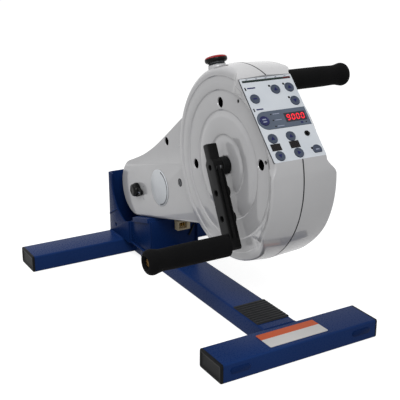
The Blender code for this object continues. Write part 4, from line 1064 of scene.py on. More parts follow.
    def build_strip(self) -> None:
        """Makes the two-tone film on the front foot."""
        top = self.tube_height + GAP
        film = prism(rounded_rectangle(*self.strip_size, 0.002), top, top + self.film, Axis.Z)
        set_at(film, at_point(0, self.front_y + self.strip_middle, 0))
        finished("strip_film", [(film, VINYL)], ["two_tone_strip"])


@dataclass
class Bracket:
    """The folded sheet bracket that carries the head, and what hangs on its front."""

    rear_y: float = 0.2837
    sheet: float = 0.003
    width: float = 0.104
    length: float = 0.162
    floor: float = 0.0303
    front_top: float = 0.097
    rear_rise: float = 0.016
    arc_place: Pair = (0.2027, 0.133)
    arc_radius: float = 0.0656
    arc_start: float = -79.8
    jog: float = 0.006
    jog_y: float = 0.199
    corner: float = 0.002
    edge: float = 0.0006
    tab: Pair = (0.027, 0.014)
    tab_foot: float = 0.015
    right_foot: float = 0.004
    hole_radius: float = 0.004
    hole: Pair = (0.028, 0.05)
    socket_size: Point = (0.026, 0.012, 0.018)
    socket_x: float = 0.017
    slot_x: float = 0.0155
    socket_z: float = 0.082
    contact_pitch: float = 0.004
    pin_radius: float = 0.0016
    pin_top: Pair = (0.044, 0.0765)
    pin_foot: Pair = (0.033, 0.056)

    def build(self) -> None:
        """Builds the plates, the weld on the left one, the socket and the pin."""
        for name, side in (("left", -1), ("right", 1)):
            plate = self.side_plate(side)
            parts = [(plate, BLUE_COAT)]
            if side < 0:
                parts.append((self.rear_weld(), BLUE_COAT))
            node = f"bracket_{name}_side"
            finished(node + "_plate", parts, [node])
        inner = self.width - 2 * (self.sheet + GAP)
        front = self.rear_y - self.length
        tall = self.front_top - self.floor - 0.0015
        back_tall = self.arc_place[1] + self.rear_rise - self.floor
        low, high = front + self.sheet + GAP, self.rear_y - self.sheet - GAP
        half = self.sheet / 2
        for name, size, x, y in (
            ("front", (inner - self.jog, self.sheet, tall), self.jog / 2, front + half),
            ("back", (inner, self.sheet, back_tall), 0, self.rear_y - half),
            ("floor", (inner, high - low, self.sheet), 0, (low + high) / 2),
        ):
            plate = slab(*size, (x, y, self.floor + size[2] / 2), 0.0007)
            node = f"bracket_{name}"
            finished(node + "_plate", [(plate, BLUE_COAT)], [node])
        dressed(BLUE_COAT, "saddle_plate")
        dressed(TURNED_STEEL, "saddle_bolt_front", "saddle_bolt_rear")
        self.build_socket(front)

    def side_plate(self, side: int) -> Mesh:
        """Returns a side plate with its round cut; the left one has a jog, a tab and a hole.

        Args:
            side: -1 for the left and 1 for the right.

        Returns:
            The plate. The left one is two offset parts that a web joins.
        """
        front = self.rear_y - self.length
        tab = front + self.tab[0]
        end = math.degrees(math.asin(self.rear_rise / self.arc_radius))
        top = self.arc_place[1] + self.rear_rise
        outline: Outline = [(self.rear_y, self.floor), (self.rear_y, top)]
        outline += arc(self.arc_place, self.arc_radius, end, self.arc_start, 48)
        low, high = sorted((side * self.width / 2, side * (self.width / 2 - self.sheet)))
        if side > 0:
            foot = self.rear_y - 0.0605
            outline += [(front - 0.004, self.front_top), (front - 0.004, self.right_foot)]
            outline += [(foot, self.right_foot), (foot, self.floor)]
            plate = prism(softened(outline, self.corner), low, high)
            return rounded(plate, self.edge, 2, 50)
        corner = outline[-1]
        share = (corner[0] - self.jog_y) / (corner[0] - front)
        edge = corner[1] + share * (self.front_top - corner[1])
        outline += [(self.jog_y, edge), (self.jog_y, self.floor)]
        plate = rounded(prism(softened(outline, self.corner), low, high), self.edge, 2, 50)
        inner: Outline = [(self.jog_y + self.sheet, self.floor), (self.jog_y + self.sheet, edge)]
        inner += [(front, self.front_top), (front, self.floor), (tab, self.floor)]
        inner += [(tab, self.tab_foot), (tab + self.tab[1], self.tab_foot)]
        inner += [(tab + self.tab[1], self.floor)]
        inner_plate = prism(softened(inner, self.corner), low + self.jog, high + self.jog)
        tall = edge - self.floor - 0.001
        middle = (low + (self.sheet + self.jog) / 2, self.jog_y + self.sheet / 2, self.floor + tall / 2)
        web = slab(self.sheet + self.jog - 0.0004, self.sheet - 0.0004, tall, middle, self.edge)
        hole = rod(self.hole_radius, low - CUT_PAST, high + CUT_PAST, 32, Axis.X)
        place = at_point(0, self.rear_y - self.hole[0], self.hole[1])
        plate = carved(plate, [cut(hole, place)])
        return merged([plate, rounded(inner_plate, self.edge, 2, 50), web])

    def rear_weld(self) -> Mesh:
        """Returns the bead that slants across the left plate's rear."""
        x = -self.width / 2
        path = [(x, self.rear_y - 0.0018, 0.0647), (x, self.rear_y - 0.035, 0.083)]
        return weld_bead(path, 0.003, BLUE_COAT, 5)

    def build_socket(self, front: float) -> None:
        """Makes the cream lead socket and the black pin on the bracket's front."""
        depth, x, z = self.socket_size[1], self.slot_x, self.socket_z
        face = front - GAP - depth
        middle = (self.socket_x, front - GAP - depth / 2, z)
        shell = slab(*self.socket_size, middle, 0.0008)
        slot = slab(0.016, 0.016, 0.012, (x, face, z))
        rib = slab(0.004, 0.01, 0.0016, (x, face + 0.005, 0.0917), 0.0003)
        body = carved(shell, [cut(slot), join(rib)])
        contacts = []
        for index in (-1, 0, 1):
            middle = (x + index * self.contact_pitch, face + 0.0055, z)
            contacts.append(slab(0.0012, 0.005, 0.006, middle, 0.0002))
        parts = [(body, CREAM_NYLON), (merged(contacts), TURNED_BRASS)]
        finished("lead_socket_body", parts, ["lead_socket"])
        top, foot = (Vector((x, 0, z)) for x, z in (self.pin_top, self.pin_foot))
        radius = self.pin_radius
        run = (top - foot).length
        pin = rod(radius, 0, run, 24, Axis.Z, 0.0004)
        lean = (top - foot).to_track_quat("Z", "Y").to_matrix().to_4x4()
        place = at_point(foot.x, front - GAP - radius, foot.z) @ lean
        parts = [(set_at(pin, place), BLACK_MOULDED)]
        finished("bracket_pin_rod", parts, ["bracket_pin"])


@dataclass
class DriveHead:
    """The two moulded halves of the head, with their rings, snout, seam and screws.

    The relief lists the left side's rings by radius and how far each point lies below the
    face. The snout's top is listed by how far ahead of the rear and how high it is. Slopes
    and hub openings are given for the left and then the right side.
    """

    axis_y: float = -0.1367
    axis_z: float = 0.268
    radius: float = 0.147
    draft: float = 0.0025
    seam_x: float = -0.016
    left_depth: float = 0.033
    right_depth: float = 0.059
    wall: float = 0.003
    ring_step: float = 0.0015
    relief: tuple[Pair, ...] = (
        (0.0215, 0.001), (0.035, 0.001), (0.0385, 0.0016), (0.043, 0.0026),
        (0.0447, 0.0027), (0.0462, 0.0008), (0.048, 0.0002), (0.069, 0.0003),
        (0.073, 0.0012), (0.0785, 0.0029), (0.0803, 0.0031), (0.0822, 0.0016),
        (0.085, 0.0013), (0.102, 0.0015), (0.108, 0.0021), (0.1096, 0.0021),
        (0.1112, 0.0005), (0.113, 0.0), (0.122, 0.0002), (0.1285, 0.0012),
        (0.13, 0.0012),
    )
    hub_recess: float = 0.002
    hub_openings: Pair = (0.023, 0.029)
    bearing_pocket: float = 0.0213
    bearing_depth: float = 0.012
    bearing_wall: float = 0.025
    shaft_bore: float = 0.0109
    boss_radius: float = 0.04
    boss_height: float = 0.006
    rings: Point = (0.046, 0.082, 0.111)
    ramp: float = 0.0016
    rim_band: float = 0.0155
    slopes: Pair = (0.55, 0.935)
    fillet: float = 0.009
    small_fillet: float = 0.003
    groove: float = 0.0011
    console_side: float = 0.0435
    console_distance: float = 0.12802
    console_angle: float = 137.0
    front_flare: float = 0.018
    steps: int = 216
    rear_y: float = 0.2837
    snout_end: Pair = (0.2027, 0.136)
    snout_radius: float = 0.053
    snout_slope: float = 14.2
    snout_top_angle: float = 62.0
    snout_top: tuple[Pair, ...] = (
        (0.113, 0.207), (0.155, 0.23), (0.194, 0.256), (0.256, 0.301), (0.326, 0.35)
    )
    snout_run: float = 0.3
    snout_left: float = 0.021
    snout_right: float = 0.056
    snout_edge: float = 0.0045
    screw_angles: tuple[float, ...] = (78.0, 166.0, 258.0, 347.0)
    screw_orbit: float = 0.092
    column_radius: float = 0.0098
    snout_step: float = 0.002
    step_corner: Pair = (0.0125, 0.262)
    step_radius: float = 0.1502
    fold: Pair = (0.0982, 0.204)
    snout_plug: Pair = (0.0747, 0.254)
    snout_screw: Pair = (0.0247, 0.195)
    screw_radius: float = 0.0058
    slot_lean: float = 35.0
    small_screws: Pair = (106.0, 164.0)
    small_screw_orbit: float = 0.1045
    panel_bed: float = 0.0033
    panel_size: Pair = (0.086, 0.1323)
    lip: float = 0.0035
    window_ledge: float = 0.006
    window_depth: float = 0.007
    stop_angle: float = 69.0
    stop_x: float = -0.0325
    dial_place: Point = (-0.037, 0.1847, 0.138)

    def build(self, stop: Matrix, console: Matrix) -> None:
        """Builds both halves and their screws.

        Args:
            stop: The stop button's place on the rim.
            console: The console face's place.
        """
        for name, side in (("left", -1), ("right", 1)):
            mesh = self.half(side, stop, console)
            made = finished(
                f"{name}_shell", [(mesh, SHELL)], [f"{name}_housing"], crease=28.0
            )
            self.paint_seam_shade(made)
        self.build_screws()
        self.build_snout_screws()

    def paint_seam_shade(self, made: Thing) -> None:
        """Paints the shade of the seam's gap on the walls of the groove along the seam."""
        made.data.materials.append(SEAM_SHADE.material())
        reach = self.groove * 1.05
        for face in made.data.polygons:
            near = abs(face.center.x - self.seam_x) < reach
            if near and 0.3 < abs(face.normal.x) < 0.95:
                face.material_index = 1

    def eased(self, angle: float, knots: Sequence[Pair]) -> float:
        """Returns a value read along knots of angle and value, with soft turns."""
        for (low, before), (high, after) in zip(knots, knots[1:]):
            if low <= angle <= high:
                share = (angle - low) / (high - low)
                return before + (after - before) * share * share * (3 - 2 * share)
        return knots[-1][1]

    def side_reach(self, side: int, angle: float, radius: float) -> float:
        """Returns how far the drum's side lies from the seam at an angle and a radius."""
        left = side < 0
        depth = self.left_depth if left else self.right_depth
        console = self.console_side - depth
        front = self.front_flare if left else 0.0
        knots = (
            (-90, 0), (98, 0), (109, console), (166, console),
            (175, front), (205, front), (235, 0), (270, 0),
        )
        change = self.eased(angle, knots)
        limit = self.slopes[side > 0] * max(radius - self.rings[2], 0)
        return depth + max(-limit, min(limit, change))

    def rim_fillet(self, angle: float) -> float:
        """Returns the rim's rounding, smaller beside the console and the front pad."""
        big, small = self.fillet, self.small_fillet
        knots = ((-90, big), (92, big), (108, small), (208, small), (232, big), (270, big))
        return self.eased(angle, knots)

    def side_steps(self, side: int) -> list[Pair]:
        """Returns the rings moulded in a side, as radius and how far each point drops."""
        if side < 0:
            return list(self.relief)
        inner, middle, outer = self.rings
        points: list[Pair] = []
        for edge, before, after in (
            (inner, self.hub_recess, 0.0), (middle, 0.0, self.ring_step), (outer, self.ring_step, 0.0)
        ):
            for step in range(6):
                share = step / 5
                soft = share * share * (3 - 2 * share)
                points.append((edge + (2 * share - 1) * self.ramp, before + (after - before) * soft))
        return points

    def profile(self, side: int, angle: float, inset: float) -> Outline:
        """Returns radius and reach from near the side's middle out to the rim."""
        rim = self.radius - self.draft
        fillet = self.rim_fillet(angle)
        if inset:
            bed = self.side_reach(side, angle, 0) - self.ring_step - inset
            points = [(self.rings[2] - inset, bed)]
        else:
            points = [
                (radius, self.side_reach(side, angle, radius) - drop)
                for radius, drop in self.side_steps(side)
            ]
            if side > 0:
                for share in (0.35, 0.65):
                    radius = self.rings[2] + self.ramp
                    radius += (self.radius - self.rim_band - radius) * share
                    points.append((radius, self.side_reach(side, angle, radius)))
        cheek = self.radius - self.rim_band
        points.append((cheek - inset, self.side_reach(side, angle, cheek) - inset))
        edge = self.side_reach(side, angle, rim - fillet) - inset
        count = 2 if inset else 7
        for step in range(count + 1):
            turn = math.radians(90 * step / count)
            out = rim - inset - fillet * (1 - math.sin(turn))
            points.append((out, edge - fillet * (1 - math.cos(turn))))
        return points

    def drum(self, side: int, inset: float = 0.0) -> Mesh:
        """Returns half the drum as a solid, or the hollow that goes inside it."""
        steps = 72 if inset else self.steps
        angles = [-90 + 360 * i / steps for i in range(steps)]
        rings = []
        for angle in angles:
            ring = self.profile(side, angle, inset)
            if inset:
                ring.append((self.radius - inset, -CUT_PAST))
            else:
                ring.append((self.radius, self.groove))
                ring.append((self.radius - self.groove, GAP / 2))
            turn = math.radians(angle)
            rings.append([
                (
                    self.seam_x + side * reach,
                    self.axis_y + radius * math.cos(turn),
                    self.axis_z + radius * math.sin(turn),
                )
                for radius, reach in ring
            ])
        return lofted(list(zip(*rings)))

    def normal(self) -> Vector:
        """Returns the outward direction of the console's face."""
        turn = math.radians(self.console_angle)
        return Vector((0, math.cos(turn), math.sin(turn)))

    def hollow(self, side: int) -> Mesh:
        """Returns the drum's hollow, which ends under the console's bed."""
        mesh = self.drum(side, self.wall)
        normal = self.normal()
        deep = self.console_distance - self.panel_bed - self.wall
        place = Vector((0, self.axis_y, self.axis_z)) + normal * deep
        everything = mesh.verts[:] + mesh.edges[:] + mesh.faces[:]
        bmesh.ops.bisect_plane(mesh, geom=everything, plane_co=place, plane_no=normal, clear_outer=True)
        bmesh.ops.holes_fill(mesh, edges=[edge for edge in mesh.edges if edge.is_boundary])
        bmesh.ops.recalc_face_normals(mesh, faces=mesh.faces)
        return mesh

    def snout_outline(self, inset: float = 0.0) -> Outline:
        """Returns the snout's side outline, drawn in by a wall where inset is given."""
        low = -90 - self.snout_slope
        steps = 20 if inset else 48
        outline = arc(self.snout_end, self.snout_radius - inset, low, self.snout_top_angle, steps)
        drawn = spun((0, 0), self.snout_top_angle + 180, inset)
        top = [(self.rear_y - ahead + drawn[0], z + drawn[1]) for ahead, z in self.snout_top]
        outline += top if inset else through([outline[-1], *top], 8)[1:]
        root = spun(self.snout_end, low, self.snout_radius - inset)
        slope = math.tan(math.radians(self.snout_slope))
        outline.append((root[0] - self.snout_run, root[1] + self.snout_run * slope))
        return outline

    def snout(self, side: int, inset: float = 0.0) -> Mesh:
        """Returns half the snout, rounded along its outer edge and grooved at the seam."""
        depth = (self.snout_left if side < 0 else self.snout_right) - inset
        if inset:
            return prism(
                self.snout_outline(inset), self.seam_x - side * CUT_PAST, self.seam_x + side * depth
            )
        low, high = self.seam_x + side * GAP / 2, self.seam_x + side * depth
        mesh = prism(self.snout_outline(), low, high)
        for value, width, steps in ((high, self.snout_edge, 6), (low, self.groove, 1)):
            edges = [
                edge
                for edge in mesh.edges
                if all(abs(corner.co.x - value) < SAME for corner in edge.verts)
            ]
            bevelled(mesh, edges, width, steps)
        return mesh

    def bearing_hub(self, side: int) -> Mesh:
        """Returns the ring that holds a bearing, and on the right its raised boss."""
        depth = self.left_depth if side < 0 else self.right_depth
        reach = depth - self.ring_step - self.wall - 0.016
        pocket, wall, boss = self.bearing_pocket, self.bearing_wall, self.boss_radius
        sunk = depth - self.hub_recess - self.wall / 2 + self.ring_step / 2
        profile = [(pocket, reach), (wall, reach), (wall, depth - 0.0011)]
        end = sunk
        if side < 0:
            profile += [(0.0152, depth - 0.0011), (0.0146, sunk)]
        if side > 0:
            end = depth + self.boss_height
            profile += [(boss, sunk), (boss, end - 0.004), (0.0388, end - 0.0012), (0.036, end)]
        floor = reach + self.bearing_depth
        profile += [(self.shaft_bore, end), (self.shaft_bore, floor), (pocket, floor)]
        placed = [(radius, self.seam_x + side * along) for radius, along in profile]
        return turned(placed, 72, Axis.X, ring=True)

    def bed(self) -> Mesh:
        """Returns the cutter of the console's bed, flared at its ends so the lips are soft."""
        half, deep = self.panel_size[1] / 2 + GAP, -self.panel_bed
        side: Outline = [(half, deep), (half, 0.0004)]
        side += arc((half + self.lip, 0.0004), self.lip, 180, 105, 6)[1:]
        side += [(half + 0.012, 0.005), (half + 0.012, 0.04)]
        outline = side + [(-u, v) for u, v in reversed(side)]
        return prism(outline, -0.2, 0.2, Axis.X)

    def half(self, side: int, stop: Matrix, console: Matrix) -> Mesh:
        """Returns one moulded half: a tray that is open at the seam."""
        hub = at_point(0, self.axis_y, self.axis_z)
        depth = self.left_depth if side < 0 else self.right_depth
        face_x = self.seam_x + side * depth
        steps = [join(self.snout(side))]
        if side < 0:
            seat = turned([(0, -0.008), (0.0138, -0.008), (0.0138, -0.0012), (0.0132, 0.0), (0, 0)], 61)
            steps.append(join(seat, stop))
        steps += [cut(self.hollow(side)), cut(self.snout(side, self.wall))]
        opened = self.hub_openings[side > 0]
        hole = rod(opened, face_x - 0.009, face_x + 0.009, 70, Axis.X)
        steps += [cut(hole, hub), join(self.bearing_hub(side), hub)]
        inner_x = face_x - side * (self.ring_step + self.wall / 2)
        seam = self.seam_x + side * GAP / 2
        for angle in self.screw_angles:
            place = self.side_place(angle, self.screw_orbit)
            column = rod(self.column_radius, *sorted((seam, inner_x)), 22, Axis.X)
            steps.append(join(column, place))
            if side < 0:
                recess = self.recess(face_x, (0.0083, 0.0014), (0.0076, 0.0026))
                steps.append(cut(recess, place))
        if side < 0:
            steps += self.snout_cuts()
        width, length = self.panel_size
        ledges = 2 * self.window_ledge
        window = slab(width - ledges, length - ledges, 2 * self.window_depth, (0, 0, 0))
        steps += [cut(self.bed(), console), cut(window, console)]
        if side < 0:
            neck = rod(0.0083, -0.018, CUT_PAST, 44)
            steps.append(cut(neck, stop))
            shaft = rod(0.0033, -CUT_PAST, CUT_PAST, 24, Axis.X)
            steps.append(cut(shaft, at_point(*self.dial_place)))
            for angle in self.small_screws:
                small = rod(0.0028, face_x - 0.02, face_x + 0.0036, 20, Axis.X)
                place = self.side_place(angle, self.small_screw_orbit)
                steps.append(cut(small, place))
        return carved(self.drum(side), steps)

    def snout_cuts(self) -> list[Carving]:
        """Returns what shapes the snout's left face: a shallow step and two recesses."""
        face = self.seam_x - self.snout_left
        slope = math.tan(math.radians(self.snout_slope))
        rings = []
        for x, lift in ((face - 0.001, -0.002), (face, 0.0), (face + self.snout_step, 0.004)):
            low = self.fold[1] + lift
            ends = [(y, low + (self.fold[0] - y) * slope) for y in (0.3, 0.016 + lift)]
            corner = (self.step_corner[0] + lift, self.step_corner[1])
            outline = [ends[0], *softened([*ends, corner], 0.012)[5:]]
            radius = self.step_radius + lift
            outline += [self.on_side(angle, radius) for angle in range(0, 30, 5)]
            outline += [(0.05, 0.37), (0.3, 0.37)]
            rings.append([(x, y, z) for y, z in outline])
        steps = [cut(lofted(rings))]
        seam = self.seam_x - GAP / 2
        plug = at_point(0, *self.snout_plug)
        column = rod(0.0092, face + self.snout_step + 0.0004, seam, 22, Axis.X)
        steps.append(join(column, plug))
        recess = self.recess(face, (0.0077, 0.0024), (0.0071, 0.0032))
        steps.append(cut(recess, plug))
        seat = rod(0.0071, face - CUT_PAST, face + 0.0018, 40, Axis.X)
        steps.append(cut(seat, at_point(0, *self.snout_screw)))
        return steps

    def on_side(self, angle: float, radius: float) -> Pair:
        """Returns Y and Z of a point at an angle and a radius about the crank axis."""
        return spun((self.axis_y, self.axis_z), angle, radius)

    def side_place(self, angle: float, radius: float) -> Matrix:
        """Returns the place at an angle and a radius about the crank axis."""
        return at_point(0, *self.on_side(angle, radius))

    def recess(self, face: float, mouth: Pair, bore: Pair) -> Mesh:
        """Returns the cutter of a screw's recess, 12 mm deep.

        Args:
            face: Where the face is.
            mouth: The mouth's radius, and how deep its chamfer starts.
            bore: The bore's radius, and how deep the chamfer ends.

        Returns:
            The cutter.
        """
        points = [(0, -CUT_PAST), (mouth[0], -CUT_PAST), mouth, bore, (bore[0], 0.012), (0, 0.012)]
        return turned([(radius, face + deep) for radius, deep in points], 40, Axis.X)

    def sunk_screw(self, face: float, radius: float, bore: float, start: float) -> Mesh:
        """Returns a screw with a hollow head, at the foot of a sleeve.

        Args:
            face: Where the face is.
            radius: The sleeve's radius.
            bore: The sleeve's bore.
            start: How deep the sleeve starts.

        Returns:
            The screw and its sleeve in one.
        """
        points = [
            (radius, start), (radius, 0.0117), (0, 0.0117), (0, 0.0088), (0.0022, 0.0088),
            (0.0024, 0.0072), (0.0044, 0.0072), (0.0048, 0.008), (0.0048, 0.01),
            (bore, 0.01), (bore, start),
        ]
        return turned([(wide, face + deep) for wide, deep in points], 36, Axis.X)

    def build_screws(self) -> None:
        """Makes the black screws deep in their recesses, and the two small ones."""
        face_x = self.seam_x - self.left_depth
        shapes = []
        for angle in self.screw_angles:
            screw = self.sunk_screw(face_x, 0.0073, 0.0068, 0.003)
            place = self.side_place(angle, self.screw_orbit)
            shapes.append(set_at(screw, place))
        for angle in self.small_screws:
            head = rod(0.0026, face_x + 0.0022, face_x + 0.0035, 24, Axis.X, 0.0003)
            place = self.side_place(angle, self.small_screw_orbit)
            shapes.append(set_at(head, place))
        finished("housing_screws", [(merged(shapes), BLACK_GLOSS)])

    def build_snout_screws(self) -> None:
        """Makes the snout's two screws: a steel one in a black ring of painted shade, and a black one
        deep in its recess.
        """
        x, radius = self.seam_x - self.snout_left, self.screw_radius
        profile: Outline = [
            (0, x - 0.0007), (0.004, x - 0.0007), (0.0054, x - 0.0001),
            (radius, x + 0.0006), (radius, x + 0.0016), (0, x + 0.0016),
        ]
        slot = slab(0.0018, 0.0016, 0.013, (x - 0.0007, 0, 0))
        lean = leaned(self.slot_lean)
        head = carved(turned(profile, 40, Axis.X), [cut(slot, lean)])
        # Painted shade: a black ring round the steel head stands for the shadow in its recess
        corners = [(0.006, 0.0004), (0.0069, 0.0004), (0.0069, 0.0016), (0.006, 0.0016)]
        corners = [(wide, x + deep) for wide, deep in corners]
        ring = turned(corners, 40, Axis.X, ring=True)
        place = at_point(0, *self.snout_screw)
        parts: list[Part] = [(set_at(head, place), ZINC_COLLAR), (set_at(ring, place), BLACK_GLOSS)]
        finished("snout_screw", parts)
        sunk = set_at(self.sunk_screw(x, 0.0068, 0.0062, 0.0036), at_point(0, *self.snout_plug))
        finished("snout_plug", [(sunk, BLACK_GLOSS)])


class Sign(Enum):
    """The plain sign on a key."""

    BAR = "one bar"
    BARS = "two bars"
    UP = "a triangle that points up"
    DOWN = "a triangle that points down"
    RIGHT = "a triangle that points right"

    def outlines(self) -> list[Outline]:
        """Returns the sign as outlines about the key's middle."""
        far, near = 0.003, 0.003 * 0.7
        if self is Sign.UP:
            return [[(-far, -near), (far, -near), (0, far)]]
        if self is Sign.DOWN:
            return [[(-far, near), (0, -far), (far, near)]]
        if self is Sign.RIGHT:
            return [[(-near, -far), (far, 0), (-near, far)]]
        half = far * 0.28
        bar = [(-far, -half), (far, -half), (far, half), (-far, half)]
        if self is Sign.BAR:
            return [bar]
        return [[(u, v + lift) for u, v in bar] for lift in (0.0019, -0.0019)]


@dataclass
class Console:
    """The console's panel with its keys, display, lights and socket.

    Each key is listed by its place, as shares of the panel's width from the middle and of
    its length from the top, and its sign.
    """

    place: Matrix
    width: float = 0.086
    length: float = 0.1323
    thickness: float = 0.003
    key_radius: float = 0.00725
    proud: float = 0.0012
    keys: dict[str, tuple[float, float, Sign]] = field(
        default_factory=lambda: {
            "key_upper_left": (-0.364, 0.252, Sign.BAR),
            "key_upper_centre": (0.087, 0.165, Sign.UP),
            "key_top_right": (0.364, 0.159, Sign.UP),
            "key_upper_right": (0.36, 0.326, Sign.DOWN),
            "key_display": (-0.364, 0.517, Sign.BARS),
            "key_lower_left": (-0.355, 0.728, Sign.UP),
            "key_lower_centre": (-0.01, 0.728, Sign.UP),
            "key_bottom_left": (-0.35, 0.93, Sign.DOWN),
            "key_bottom_centre": (0.008, 0.926, Sign.RIGHT),
            "key_bottom_right": (0.369, 0.922, Sign.BAR),
        }
    )
    flat_key: str = "key_bottom_right"
    navy_key: str = "key_display"
    jack: Pair = (0.312, 0.723)
    bar_down: float = 0.038
    bar_size: Pair = (0.08, 0.003)
    diodes: int = 26
    red_diodes: int = 4
    print_height: float = 0.00006
    lean: float = 7.0

    def build(self) -> None:
        """Builds the panel and everything on it."""
        self.build_panel()
        self.build_display()
        self.build_light_bar()
        self.build_prints()
        for name in self.keys:
            self.build_key(name)
        self.build_jack()
        dressed(LAMINATE, "circuit_board")

    def at(self, across: float, down: float) -> Pair:
        """Returns a place in the console's frame from millimetres right of the seam and down."""
        return across / 1000, self.length / 2 - down / 1000

    def share(self, across: float, down: float) -> Pair:
        """Returns a place in the console's frame from shares of its width and length."""
        return across * self.width, (0.5 - down) * self.length

    def key_place(self, name: str) -> Pair:
        """Returns a key's place in the console's frame."""
        return self.share(*self.keys[name][:2])

    def laid(self, mesh: Mesh, x: float, y: float) -> Mesh:
        """Moves a shape from the origin to a place in the console's frame."""
        return set_at(mesh, self.place @ at_point(x, y, 0))

    def key_outline(self, radius: float, flat_sided: bool, steps: int = 48) -> Outline:
        """Returns a key's outline, cut flat on its lower side where it has a flat side."""
        outline = arc((0, 0), radius, 0, 360 - 360 / steps, steps - 1)
        if not flat_sided:
            return outline
        flat = 0.0045 + radius - self.key_radius
        return [(u, max(v, -flat)) for u, v in outline]

    def key_hole(self, name: str) -> Mesh:
        """Returns the cutter of the hole round a key, in the console's frame."""
        outline = self.key_outline(self.key_radius + GAP, name == self.flat_key)
        hole = prism(outline, -CUT_PAST, CUT_PAST, Axis.Z)
        return set_at(hole, at_point(*self.key_place(name), 0))

    def field_outline(self, grow: float = 0.0) -> Outline:
        """Returns the display field: square on its right and half round on its left."""
        top, bottom = (0.5 - 0.412) * self.length, (0.5 - 0.622) * self.length
        radius = (top - bottom) / 2
        middle = (0.001 + radius - self.width / 2, (top + bottom) / 2)
        outline = arc(middle, radius + grow, 90, 270, 32)
        right = self.width / 2 - 0.002 + grow
        return outline + [(right, bottom - grow), (right, top + grow)]

    def build_panel(self) -> None:
        """Makes the panel: film over a plate, with painted shade on its edge faces for the gap round
        it.
        """
        rings = []
        for inset, z in ((0.0, -self.thickness), (0.0, -0.001), (0.0, -0.0003), (0.0003, 0.0)):
            outline = rounded_rectangle(self.width - 2 * inset, self.length - 2 * inset, 0.002 - inset)
            rings.append([(u, v, z) for u, v in outline])
        steps = [cut(prism(self.field_outline(GAP), -0.001, CUT_PAST, Axis.Z))]
        wide, deep = self.bar_size
        middle = (0, self.share(0, self.bar_down)[1], 0.005)
        steps.append(cut(slab(wide + 2 * GAP, deep + 2 * GAP, 0.012, middle)))
        steps += [cut(self.key_hole(name)) for name in self.keys]
        hole = rod(0.0043, -CUT_PAST, CUT_PAST, 40)
        steps.append(cut(hole, at_point(*self.share(*self.jack), 0)))
        panel = carved(lofted(rings), steps)
        made = finished(
            "panel_plate", [(set_at(panel, self.place), PANEL_FILM)], ["console_panel"]
        )
        # Painted shade: faces more than 1.1 mm under the panel's top take the dark colour of the gap's
        # shadow
        made.data.materials.append(PANEL_EDGE_SHADE.material())
        back = self.place.inverted()
        for face in made.data.polygons:
            if (back @ face.center).z < -0.0011:
                face.material_index = 1

    def raised(self, outline: Outline, low: float, high: float, x: float = 0.0, y: float = 0.0) -> Mesh:
        """Returns a flat shape on the console, from one height to another, at its place."""
        mesh = prism([(u + x, v + y) for u, v in outline], low, high, Axis.Z)
        return set_at(mesh, self.place)

    def box_outline(self, left: float, top: float, right: float, bottom: float) -> Outline:
        """Returns a rectangle given in millimetres right of the seam and down the panel."""
        first, last = self.at(left, top), self.at(right, bottom)
        return [(first[0], last[1]), (last[0], last[1]), (last[0], first[1]), (first[0], first[1])]

    def digit(self, lit: str, x: float, y: float, tall: float, z: float) -> Mesh:
        """Returns the bars of one seven-bar figure.

        Args:
            lit: The letters of its bars, a to g from the top round to the middle.
            x: Its middle across the panel.
            y: Its middle up the panel.
            tall: Its height.
            z: The height of the surface that it lies on.

        Returns:
            The bars, a tenth of a millimetre thick.
        """
        wide, bar = 0.54 * tall, 0.17 * tall
        flat = wide / 2 - bar * 0.15
        up = tall / 4 - bar * 0.12
        places = {
            "a": (0, tall / 2, True), "d": (0, -tall / 2, True), "g": (0, 0, True),
            "b": (wide / 2, tall / 4, False), "c": (wide / 2, -tall / 4, False),
            "e": (-wide / 2, -tall / 4, False), "f": (-wide / 2, tall / 4, False),
        }
        bars = []
        for letter in lit:
            across, above, level = places[letter]
            run = flat if level else up
            tip = bar / 2
            outline = [(-run, 0), (-run + tip, -tip), (run - tip, -tip), (run, 0), (run - tip, tip),
                       (-run + tip, tip)]
            if not level:
                outline = [(-v, u) for u, v in outline]
            lean = math.tan(math.radians(self.lean))
            placed = [(u + across + (v + above) * lean, v + above) for u, v in outline]
            bars.append(self.raised(placed, z, z + 0.0001, x, y))
        return merged(bars)

    def build_display(self) -> None:
        """Makes the display field with its figures, lamps and plain bars."""
        base, top = GAP - 0.001, GAP
        plate = prism(self.field_outline(), base, top, Axis.Z)
        plate = carved(plate, [cut(self.key_hole(self.navy_key))])
        printed = top + self.print_height
        figures_box = self.raised(self.box_outline(2.5, 60.6, 37.6, 75.0), top, printed)
        parts: list[Part] = [(set_at(plate, self.place), DISPLAY_FIELD)]
        parts.append((figures_box, FIGURE_WINDOW))
        lit_z = top + 0.00008
        for index, bars in enumerate(("abcdfg", "abcdef", "abcdef", "abcdef")):
            place = self.at(8.4 + 7.9 * index, 67.8)
            parts.append((self.digit(bars, *place, 0.008, lit_z), LIT_SEGMENT))
        for down in (59.9, 69.4, 78.9):
            lamp = rod(0.0011, top - 0.0002, top + 0.0005, 24, Axis.Z, 0.0003)
            parts.append((self.laid(lamp, *self.at(-17.5, down)), SMOKED_WINDOW))
            bar = self.box_outline(-14.2, down - 0.5, -3.6, down + 0.5)
            parts.append((self.raised(bar, top, printed), PALE_PRINT))
        mark = self.box_outline(24.6, 76.6, 28.6, 79.4)
        parts.append((self.raised(mark, top, printed), NAVY_PRINT))
        lamp = rod(0.001, top - 0.0002, top + 0.0005, 24, Axis.Z, 0.0003)
        parts.append((self.laid(lamp, *self.at(33.6, 78.0)), SMOKED_WINDOW))
        finished("display_window", parts, ["display_lens"])

